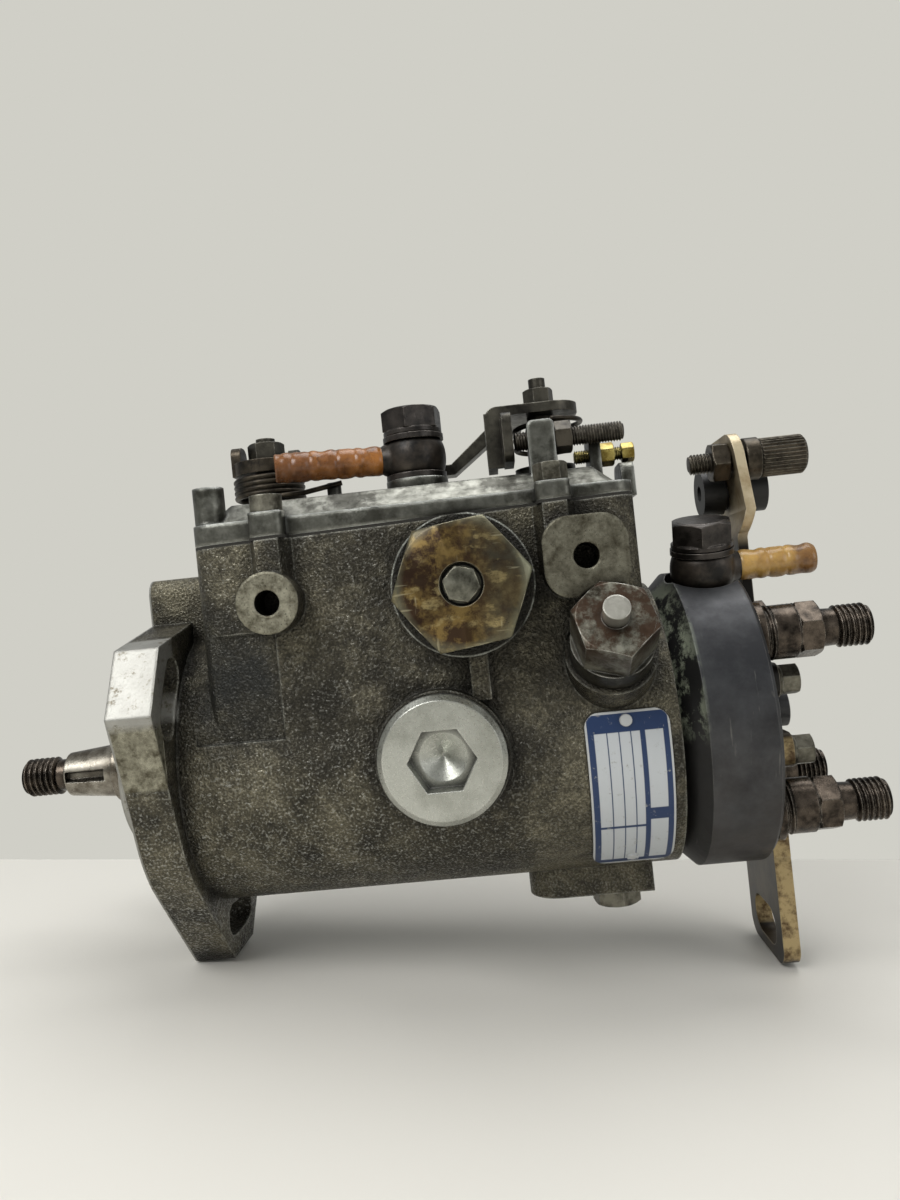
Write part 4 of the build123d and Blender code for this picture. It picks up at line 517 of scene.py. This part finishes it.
LOOKS = {
    "casting": housing_skin("cast_housing"),
    "cover": cover_skin("cast_cover"),
    "cap": cap_skin("plated_cap"),
    "head": head_skin("phosphated_head"),
    "black": worn_metal("black_fitting", (26, 23, 21), (68, 63, 59), (156, 148, 140),
                        rough=0.34, metal=0.6, patch=110, grain=700, depth=0.05),
    "eye": worn_metal("rusty_eye", (27, 25, 23), (68, 61, 54), (150, 142, 132),
                      rough=0.38, metal=0.6, patch=130, grain=700, depth=0.06),
    "outlet": worn_metal("oily_outlet", (34, 29, 24), (96, 86, 76), (184, 176, 164),
                         rough=0.28, metal=0.85, patch=170, grain=700, depth=0.05),
    "shaft": worn_metal("rubbed_taper", (92, 85, 74), (156, 151, 140), (190, 186, 176),
                        rough=0.3, metal=0.88, patch=130, grain=600, depth=0.04),
    "clamp": worn_metal("oily_clamp", (46, 41, 33), (88, 80, 68), (172, 166, 150),
                        rough=0.34, metal=0.8, patch=170, grain=600, depth=0.05),
    "screw": worn_metal("stained_screw", (38, 35, 30), (84, 79, 70), (160, 153, 140),
                        rough=0.36, metal=0.85, patch=170, grain=700, depth=0.04),
    "steel": worn_metal("worn_steel", (96, 91, 81), (158, 154, 144), (205, 202, 194),
                        rough=0.36, metal=0.9, patch=150, grain=700, depth=0.04),
    "lever": worn_metal("stained_lever", (34, 32, 28), (82, 79, 70), (176, 172, 160),
                        rough=0.36, metal=0.75, patch=110, grain=600, depth=0.05),
    "dark_steel": worn_metal("dark_spring_steel", (30, 27, 23), (74, 67, 56), (130, 120, 106),
                             rough=0.4, metal=0.8, patch=200, grain=700, depth=0.04),
    "bolt": worn_metal("grey_bolt", (64, 61, 52), (130, 127, 114), (186, 184, 173),
                       rough=0.42, metal=0.8, patch=200, grain=700, depth=0.06),
    "solenoid": solenoid_skin("rusty_solenoid"),
    "silver": worn_metal("machined_plug", (150, 151, 142), (188, 189, 181), (222, 222, 216),
                         rough=0.3, metal=0.85, patch=75, grain=1500, depth=0.02, low=0.3, high=0.6),
    "zinc": worn_metal("yellow_zinc", (48, 40, 25), (138, 122, 82), (196, 186, 152),
                       rough=0.36, metal=0.75, patch=60, grain=700, depth=0.04, low=0.47, high=0.54),
    "foot": foot_skin("dark_foot"),
    "cream_zinc": bracket_skin("pale_zinc"),
    "brass": worn_metal("brass", (118, 100, 46), (196, 180, 108), (226, 216, 164),
                        rough=0.3, metal=0.95, patch=200, grain=600, depth=0.03),
    "rubber": plain("black_rubber", (26, 26, 25), 0.5),
    "gasket": plain("gasket", (34, 32, 27), 0.8),
    "amber": amber("amber_return", (166, 108, 50), (106, 66, 34)),
    "pale_amber": amber("amber_inlet", (184, 148, 84), (140, 104, 56)),
    "plate": plate_print("blank_plate"),
}
WORN_BY = {
    "casting": ["pump_housing"],
    "cover": ["governor_cover"],
    "head": ["hydraulic_head", "end_plate"],
    "black": ["banjo_bolts", "banjo_washers"],
    "eye": ["banjo_eyes"],
    "outlet": ["delivery_valve_holders", "valve_washers", "transfer_liner"],
    "shaft": ["drive_shaft"],
    "clamp": ["cable_clamp_stud"],
    "lever": ["throttle_lever", "throttle_shaft", "stop_shaft"],
    "dark_steel": ["stop_spring", "throttle_spring", "stop_lever", "governor_spring", "advance_spring",
                   "delivery_springs"],
    "steel": ["adjusting_screws", "flyweight_cage", "flyweight_1", "flyweight_2", "flyweight_3",
              "flyweight_4", "thrust_sleeve", "governor_arm", "governor_link", "metering_valve", "cam_ring",
              "advance_piston", "distributor_rotor", "pumping_element_1", "pumping_element_2",
              "transfer_rotor", "delivery_valve_1", "delivery_valve_2", "delivery_valve_3",
              "delivery_valve_4", "shutoff_plunger"],
    "bolt": ["cover_screws", "head_locating_bolt", "end_plate_screws"],
    "solenoid": ["shutoff_solenoid"],
    "silver": ["cam_plug"],
    "cap": ["advance_cap"],
    "zinc": ["advance_plug"],
    "foot": ["rear_bracket"],
    "cream_zinc": ["cable_bracket"],
    "brass": ["shaft_bush"],
    "rubber": ["seals", "rubber_grommet"],
    "gasket": ["cover_gasket"],
    "amber": ["inlet_hose", "return_hose"],
    "plate": ["name_plate"],
}
for look, names in WORN_BY.items():
    for node in names:
        mesh = NODES[node].data
        mesh.materials.clear()
        mesh.materials.append(LOOKS[look])


# ---------------------------------------------------------------- detailed pieces
# All lengths from here to the camera are millimetres of the row frame.
X_AXIS = Vector((1, 0, 0))
Y_AXIS = Vector((0, 1, 0))
Z_AXIS = Vector((0, 0, 1))
ROUND = 2 * math.pi
HEX_SIDES = 96      # a hexagon turned by a multiple of 3.75 degrees then has a point at each corner
CORNER_CUT = 0.95
SHARP = math.radians(32)


def plain_round(along, radius, turn):
    return radius


def threaded(pitch, depth):
    """A screw thread, cut from the full radius down, with flats at its crests and roots."""
    def shape(along, radius, turn):
        phase = (along / pitch - turn / ROUND) % 1.0
        return radius - depth * min(1.0, max(0.0, abs(2 * phase - 1) * 1.25 - 0.1))
    return shape


def hexagonal(flats, height, turn_by=0.0, both=False):
    """A hexagon head with its corners turned off at 30 degrees, at one end or both."""
    corner = flats / math.sqrt(3)
    cut = (corner - flats / 2) * CORNER_CUT
    slope = math.tan(math.radians(30))

    def shape(along, radius, turn):
        side = (turn - math.radians(turn_by)) % (math.pi / 3) - math.pi / 6
        reach = flats / 2 / math.cos(side)
        cone = corner - cut + (height - along) / slope
        if both:
            cone = min(cone, corner - cut + along / slope)
        return min(reach, cone, radius)
    return shape


def keyed(start, end, half_width, floor):
    """A taper with a keyway along its near side."""
    def shape(along, radius, turn):
        side = turn - math.pi / 2
        if start <= along <= end and math.cos(side) > 0 and abs(radius * math.sin(side)) < half_width:
            return floor / math.cos(side)
        return radius
    return shape


def knurled(count, depth):
    """Straight grooves along a grip."""
    def shape(along, radius, turn):
        phase = turn / ROUND * count % 1.0
        return radius - depth * abs(2 * phase - 1)
    return shape


def ribbed(pitch, depth, dent=0.08):
    """Soft uneven swellings along a hose, with slight dents round it."""
    def shape(along, radius, turn):
        sway = along + 0.6 * math.sin(along * 0.9) + 0.35 * math.sin(turn)
        wave = 0.5 + 0.5 * math.cos(ROUND * sway / pitch)
        return radius - depth * wave ** 2 - dent + dent * math.sin(3 * turn + along)
    return shape


def where_wide(limit, shape):
    """Another shape where the radius is past a limit, and plain round elsewhere."""
    def chosen(along, radius, turn):
        return shape(along, radius, turn) if radius > limit else radius
    return chosen


def steps(start, end, size):
    """Even steps from start to end, none longer than size."""
    count = max(1, math.ceil((end - start) / size))
    return [start + (end - start) * k / count for k in range(count + 1)]


def ring_steps(pairs, size):
    """Stations between corners (distance, radius), close enough together to carry a shape."""
    out = []
    for (s0, r0), (s1, r1) in zip(pairs, pairs[1:]):
        count = max(1, math.ceil(abs(s1 - s0) / size))
        out += [(s0 + (s1 - s0) * k / count, r0 + (r1 - r0) * k / count) for k in range(count)]
    return out + [pairs[-1]]


class Form:
    """A mesh joined from ringed pieces."""

    def __init__(self):
        self.points = []
        self.faces = []

    def skin(self, rings):
        """One closed skin over rings of points."""
        first = len(self.points)
        sides = len(rings[0])
        for ring in rings:
            self.points.extend(ring)
        for k in range(len(rings) - 1):
            for i in range(sides):
                a = first + k * sides + i
                b = first + k * sides + (i + 1) % sides
                self.faces.append((a, b, b + sides, a + sides))
        last = first + (len(rings) - 1) * sides
        self.faces.append(tuple(reversed(range(first, first + sides))))
        self.faces.append(tuple(range(last, last + sides)))

    def turned(self, at, along, stations, shape=plain_round, sides=60):
        """Rings of (distance, radius) about an axis; shape changes each ring's outline."""
        w = Vector(along).normalized()
        u = X_AXIS if abs(w.z) > 0.9 else Z_AXIS
        u = (u - w * u.dot(w)).normalized()
        v = w.cross(u)
        rings = []
        for distance, radius in stations:
            ring = []
            for k in range(sides):
                turn = ROUND * k / sides
                reach = shape(distance, radius, turn)
                ring.append(Vector(at) + w * distance + (u * math.cos(turn) + v * math.sin(turn)) * reach)
            rings.append(ring)
        self.skin(rings)

    def hexagon(self, at, along, flats, height, turn_by, both=True, step=0.15):
        """A hexagon nut or head, measured across its flats."""
        stations = ring_steps(((0, flats), (height, flats)), step)
        self.turned(at, along, stations, hexagonal(flats, height, turn_by, both), HEX_SIDES)

    def wire(self, line, radius, sides=12):
        """Round wire along a line of points."""
        rings = []
        side = None
        for k, point in enumerate(line):
            ahead = line[min(k + 1, len(line) - 1)]
            behind = line[max(k - 1, 0)]
            w = (ahead - behind).normalized()
            if side is None:
                side = w.orthogonal()
            side = (side - w * side.dot(w)).normalized()
            v = w.cross(side)
            ring = []
            for i in range(sides):
                turn = ROUND * i / sides
                ring.append(point + (side * math.cos(turn) + v * math.sin(turn)) * radius)
            rings.append(ring)
        self.skin(rings)

    def build(self, name, body, look, nodes):
        """Makes the piece in place of one or more nodes, which it hides, on their body."""
        mesh = bpy.data.meshes.new(name)
        mesh.from_pydata([p * MM for p in self.points], [], self.faces)
        mesh.materials.append(LOOKS[look])
        mesh.shade_smooth()
        mesh.set_sharp_from_angle(angle=SHARP)
        thing = bpy.data.objects.new(name, mesh)
        bpy.context.scene.collection.objects.link(thing)
        bpy.context.view_layer.update()
        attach(thing, body)
        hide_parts(*nodes)


# The four line outlets: a stepped body round its bore, a hexagon, a neck and an M12 thread with a coned
# mouth. Distances are from the head's end face, and a profile is pairs of distance and radius.
HEAD_END = 174.0
OUTLET_OFFSET = 24.5
OUTLET_PITCH = 1.5
OUTLET_BORE = 3.1
OUTLET_BODY = ((20, OUTLET_BORE), (-8, OUTLET_BORE), (-8, 6), (2, 6), (2, 7.3), (2.3, 7.9), (4.6, 7.9),
               (4.6, 7.2), (4.8, 7.7), (11, 7.7), (11.7, 7.0))
OUTLET_HEX, OUTLET_FLATS, OUTLET_HEX_HEIGHT = 11.5, 14, 6.3
OUTLET_NECK, OUTLET_NECK_RINGS = 17.6, ((0, 6.2), (0.6, 5.4), (4.6, 5.2))
OUTLET_NOSE = 22
OUTLET_NOSE_RINGS = ((0, 5.2), (0.8, 6), (8.9, 6), (9.7, 5.2), (9.7, 4), (6.7, 1.5), (-5, 1.5))
outlets = Form()
for y in (-OUTLET_OFFSET, OUTLET_OFFSET):
    for z in (-OUTLET_OFFSET, OUTLET_OFFSET):
        at = Vector((HEAD_END, y, z))
        outlets.turned(at, X_AXIS, ring_steps(OUTLET_BODY, 0.3),
                       where_wide(7.75, threaded(OUTLET_PITCH, 0.6)), 48)
        outlets.hexagon(at + X_AXIS * OUTLET_HEX, X_AXIS, OUTLET_FLATS, OUTLET_HEX_HEIGHT, turn_by=11.25)
        outlets.turned(at + X_AXIS * OUTLET_NECK, X_AXIS, OUTLET_NECK_RINGS)
        outlets.turned(at + X_AXIS * OUTLET_NOSE, X_AXIS, ring_steps(OUTLET_NOSE_RINGS, 0.1),
                       where_wide(5.2, threaded(OUTLET_PITCH, 0.75)), 48)
outlets.build("outlet_unions", "pump", "outlet", ["delivery_valve_holders"])

# The advance cap: its shank, its hexagon, the recess in the middle and the small screw in it.
CAP_FACE = -57.0
CAP_HEIGHT = 9.5
CAP_FLATS = 32
CAP_RECESS = 4
CAP_SCREW_SEAT, CAP_SCREW_FLATS, CAP_SCREW_HEIGHT = 5.4, 8.5, 5.1
cap_foot = Vector((CAP_X, CAP_FACE + CAP_HEIGHT, CAP_Z))
cap = Form()
cap.turned(cap_foot + Y_AXIS * 12, -Y_AXIS, ((0, 11), (12.5, 11)))
cap.turned(cap_foot, -Y_AXIS,
           ring_steps(((0, 19), (CAP_HEIGHT, 19)), 0.12)
           + [(CAP_HEIGHT, CAP_SCREW_HOLE), (CAP_HEIGHT - CAP_RECESS, CAP_SCREW_HOLE)],
           where_wide(6, hexagonal(CAP_FLATS, CAP_HEIGHT, 37.5)), HEX_SIDES)
cap.hexagon(cap_foot - Y_AXIS * CAP_SCREW_SEAT, -Y_AXIS, CAP_SCREW_FLATS, CAP_SCREW_HEIGHT,
            turn_by=15, both=False, step=0.12)
cap.build("advance_hexagon", "pump", "cap", ["advance_cap"])

# The drive shaft's nose: an M12 thread with its undercut, and a taper with a keyway. The rest of the
# shaft is hidden in the housing.
SHAFT_TIP = Vector((-52, 0, 0))
TAPER_START = Vector((-38, 0, 0))
KEYWAY_START, KEYWAY_END = 1, 14
shaft = Form()
shaft.turned(SHAFT_TIP, X_AXIS, ring_steps(((0, 2.2), (0, 5.0), (1, 6), (10.5, 6), (11, 5), (14, 5)), 0.1),
             where_wide(5.1, threaded(1.75, 0.9)), 72)
shaft.build("shaft_thread", "drive", "outlet", ["drive_shaft"])
taper = Form()
taper.turned(TAPER_START, X_AXIS,
             ((0, 6.0), (0.4, 6.6), (0.6, 6.86), (KEYWAY_START - 0.01, 6.9), (KEYWAY_START, 6.9),
              (KEYWAY_END, 8.2), (KEYWAY_END + 0.01, 8.2), (17, 8.5), (17, 10), (60, 10)),
             keyed(KEYWAY_START, KEYWAY_END, half_width=1.5, floor=5), 180)
taper.build("shaft_taper", "drive", "shaft", ["drive_shaft"])


# The two adjusting screws and their lock nuts.
def adjusting_screw(name, look, tip, profile, pitch, depth, nuts):
    """A threaded screw from its tip; each nut is (distance, flats, height)."""
    screw = Form()
    screw.turned(tip, X_AXIS, ring_steps(profile, 0.1), threaded(pitch, depth), 36)
    for distance, flats, height in nuts:
        screw.hexagon(tip + X_AXIS * distance, X_AXIS, flats, height, turn_by=11.25)
    screw.build(name, "pump", look, ["adjusting_screws"])


adjusting_screw("speed_screw", "screw", Vector((112.8, -28, 85.3)),
                ((0, 2.2), (0.6, 2.8), (29.9, 2.8), (30.7, 2.1)), pitch=0.8, depth=0.42,
                nuts=((11.3, 8, 4.8),))
adjusting_screw("idle_screw", "brass", Vector((130, -18, 80.5)),
                ((0, 1.6), (0.4, 2), (13.8, 2)), pitch=0.7, depth=0.35,
                nuts=((7.2, 6, 4.3), (13.7, 5, 3.6)))

# The cable clamp: a knurled barrel behind the bracket and a nut and thread in front.
CLAMP_AT = Vector((179.02, -1, 76.8))
CLAMP_COLLAR = 3.9
CLAMP_BARREL = 8.5
CLAMP_NUT = -0.9
clamp = Form()
clamp.turned(CLAMP_AT + X_AXIS * CLAMP_COLLAR, X_AXIS, ((0, 6.3), (0.3, 6.5), (4.3, 6.5), (4.6, 6.2)))
clamp.turned(CLAMP_AT + X_AXIS * CLAMP_BARREL, X_AXIS,
             ring_steps(((0, 5.2), (0.7, 6), (13.0, 6), (13.8, 5.1)), 0.4),
             where_wide(5.9, knurled(30, 0.55)), 180)
clamp.turned(CLAMP_AT + X_AXIS * CLAMP_COLLAR, -X_AXIS,
             ring_steps(((0, 3.2), (15.8, 3.2), (16.5, 2.6)), 0.1), threaded(1.0, 0.5), 48)
clamp.hexagon(CLAMP_AT + X_AXIS * CLAMP_NUT, -X_AXIS, 11, 5.2, turn_by=18.75)
clamp.build("cable_clamp", "pump", "clamp", ["cable_clamp_stud"])

# The two banjo unions, each an eye on a bolt, and their hoses, which are cut off short and open at the
# end. A row names the union and its hose's look, and gives the eye's centre, the ways that the bolt and
# the hose point, the hose's length and the turn of the bolt's hexagon.
UNIONS = (
    ("inlet", "pale_amber", Vector((165, -11.906, 44.433)), Vector((0, -0.2588, 0.9659)),
     Vector((1, 0.0112, 0.003)), 22, 18.75),
    ("return", "amber", Vector((83, -8, 87.2)), Z_AXIS, Vector((-0.9724, -0.2334, 0)), 32, 22.5),
)
BANJO_HALF = 5
BANJO_RADIUS, BANJO_SWELL, BANJO_END_RADIUS = 7.9, 1.6, 7.6
HOSE_START = 10.45
HOSE_RADIUS = 4.6
eyes = Form()
bolts = Form()
for name, look, centre, toward, outward, length, corner in UNIONS:
    barrel = [(s, BANJO_RADIUS + BANJO_SWELL * (1 - (s / BANJO_HALF) ** 2) ** 0.5)
              for s in steps(0.1 - BANJO_HALF, BANJO_HALF - 0.1, 0.7)]
    eyes.turned(centre, toward,
                [(-BANJO_HALF, BANJO_END_RADIUS)] + barrel + [(BANJO_HALF, BANJO_END_RADIUS)])
    eyes.turned(centre + outward * 7, outward, ((0, 5.6), (2.6, 4.6), (3.2, 4.2), (15, 2.4)))
    bolts.turned(centre, toward, ((-13, 5), (6.7, 5)))
    bolts.turned(centre + toward * 6.7, toward, ((0, 8.6), (0.3, 8.9), (1.5, 8.9), (1.8, 8.5)))
    bolts.hexagon(centre + toward * 8.4, toward, 16.4, 6.4, turn_by=corner, both=False, step=0.12)
    bolts.turned(centre + toward * 14.75, toward, ((0, 7.2), (0.2, 7.0)))
    hose = Form()
    outer = ring_steps(((0, HOSE_RADIUS), (length - 0.5, HOSE_RADIUS)), 0.25)
    hose.turned(centre + outward * HOSE_START, outward,
                outer + [(length - 0.1, 3.9), (length - 0.1, 2.5), (length - 12, 2.4)],
                where_wide(4, ribbed(4.4, 0.3)))
    hose.build(f"{name}_hose_skin", "pump", look, [f"{name}_hose"])
eyes.build("union_eyes", "pump", "eye", ["banjo_eyes"])
bolts.build("union_bolts", "pump", "black", ["banjo_bolts"])


def coil_line(at, radius, pitch, turns, start=0.0, per_turn=40):
    """Points along a helix about an upright axis."""
    line = []
    for k in range(round(turns * per_turn) + 1):
        turn = ROUND * k / per_turn
        line.append(Vector(at) + Vector((radius * math.cos(turn + start), radius * math.sin(turn + start),
                                         pitch * turn / ROUND)))
    return line


# The return springs of the two control spindles: a coil and a long tail, and a coil and a top loop.
STOP_SPRING = Vector((35.5, 0, 80.2))
STOP_TAIL = [Vector((35.5, -10.3, 80.2)), Vector((48, -10.0, 80.3)), Vector((60, -9.2, 82.2))]
THROTTLE_SPRING = Vector((122, -10, 84.6))
stop_spring = Form()
stop_spring.wire(coil_line(STOP_SPRING, 10.3, pitch=1.63, turns=4.3, start=-math.pi / 2), 0.85)
stop_spring.wire(STOP_TAIL, 0.8)
stop_spring.build("stop_coil", "pump", "dark_steel", ["stop_spring"])
throttle_spring = Form()
throttle_spring.wire(coil_line(THROTTLE_SPRING, 8.1, pitch=2.7, turns=3), 0.75)
throttle_spring.wire(coil_line(THROTTLE_SPRING + Z_AXIS * 7.6, 11.8, pitch=1.5, turns=0.5,
                               start=-math.radians(80)), 0.75)
throttle_spring.build("throttle_coil", "pump", "dark_steel", ["throttle_spring"])

# ---------------------------------------------------------------- camera, table and light
WALL = (208, 207, 199)
TABLE = (222, 219, 211)
SHEET_REACH = 3.0

scene = bpy.context.scene
camera_data = bpy.data.cameras.new("camera")
camera_data.sensor_width = 36.0
camera_data.lens = 27.0
camera = bpy.data.objects.new("camera", camera_data)
camera.matrix_world = room_matrix() @ Matrix.Rotation(math.radians(90), 4, "X")
scene.collection.objects.link(camera)
scene.camera = camera


def flat(name, y0, y1, material):
    """A level sheet at the table's height, from one distance to another."""
    mesh = bpy.data.meshes.new(name)
    corners = [(-SHEET_REACH, y0, 0), (SHEET_REACH, y0, 0), (SHEET_REACH, y1, 0), (-SHEET_REACH, y1, 0)]
    mesh.from_pydata(corners, [], [(0, 1, 2, 3)])
    mesh.materials.append(material)
    sheet = bpy.data.objects.new(name, mesh)
    sheet.matrix_world = room_matrix((0, 0, TABLE_DROP))
    scene.collection.objects.link(sheet)


def glow(name, rgb):
    """A backdrop of one plain colour, whatever light falls on it."""
    material = bpy.data.materials.new(name)
    material.use_nodes = True
    tree = material.node_tree
    tree.nodes.clear()
    emission = tree.nodes.new("ShaderNodeEmission")
    emission.inputs["Color"].default_value = linear(rgb)
    output = tree.nodes.new("ShaderNodeOutputMaterial")
    tree.links.new(emission.outputs[0], output.inputs["Surface"])
    return material


flat("table", -SHEET_REACH, TABLE_DEPTH, plain("pale_table", TABLE, 0.5))
flat("beyond", TABLE_DEPTH, SHEET_REACH, glow("wall_tone", WALL))

# Every lamp points at the same spot on the pump, and is placed from the camera.
LAMP_AIM = (0.0, 0.3, -0.05)


def softbox(name, at, size, power):
    """A square lamp at a place in the room, turned towards the pump."""
    data = bpy.data.lights.new(name, "AREA")
    data.size = size
    data.energy = power
    lamp = bpy.data.objects.new(name, data)
    lamp.location = from_camera(at)
    lamp.rotation_mode = "QUATERNION"
    lamp.rotation_quaternion = (from_camera(LAMP_AIM) - from_camera(at)).to_track_quat("-Z", "Y")
    scene.collection.objects.link(lamp)


softbox("key", (-0.5, -0.3, 0.62), size=0.5, power=6.2)
softbox("top", (0.1, 0.4, 0.9), size=0.7, power=5.2)
softbox("fill", (0.8, -0.35, 0.3), size=0.6, power=1.8)

# The world: the camera sees the wall's tone, and all else is lit by a dimmer white.
world = bpy.data.worlds.new("room")
scene.world = world
world.use_nodes = True
world_tree = world.node_tree
world_tree.nodes.clear()


def background(rgb, strength):
    node = world_tree.nodes.new("ShaderNodeBackground")
    node.inputs["Color"].default_value = linear(rgb)
    node.inputs["Strength"].default_value = strength
    return node.outputs[0]


ray = world_tree.nodes.new("ShaderNodeLightPath")
chosen = world_tree.nodes.new("ShaderNodeMixShader")
world_output = world_tree.nodes.new("ShaderNodeOutputWorld")
world_tree.links.new(ray.outputs["Is Camera Ray"], chosen.inputs[0])
world_tree.links.new(background((236, 238, 236), 0.42), chosen.inputs[1])
world_tree.links.new(background(WALL, 1.0), chosen.inputs[2])
world_tree.links.new(chosen.outputs[0], world_output.inputs["Surface"])
scene.view_settings.view_transform = "Standard"
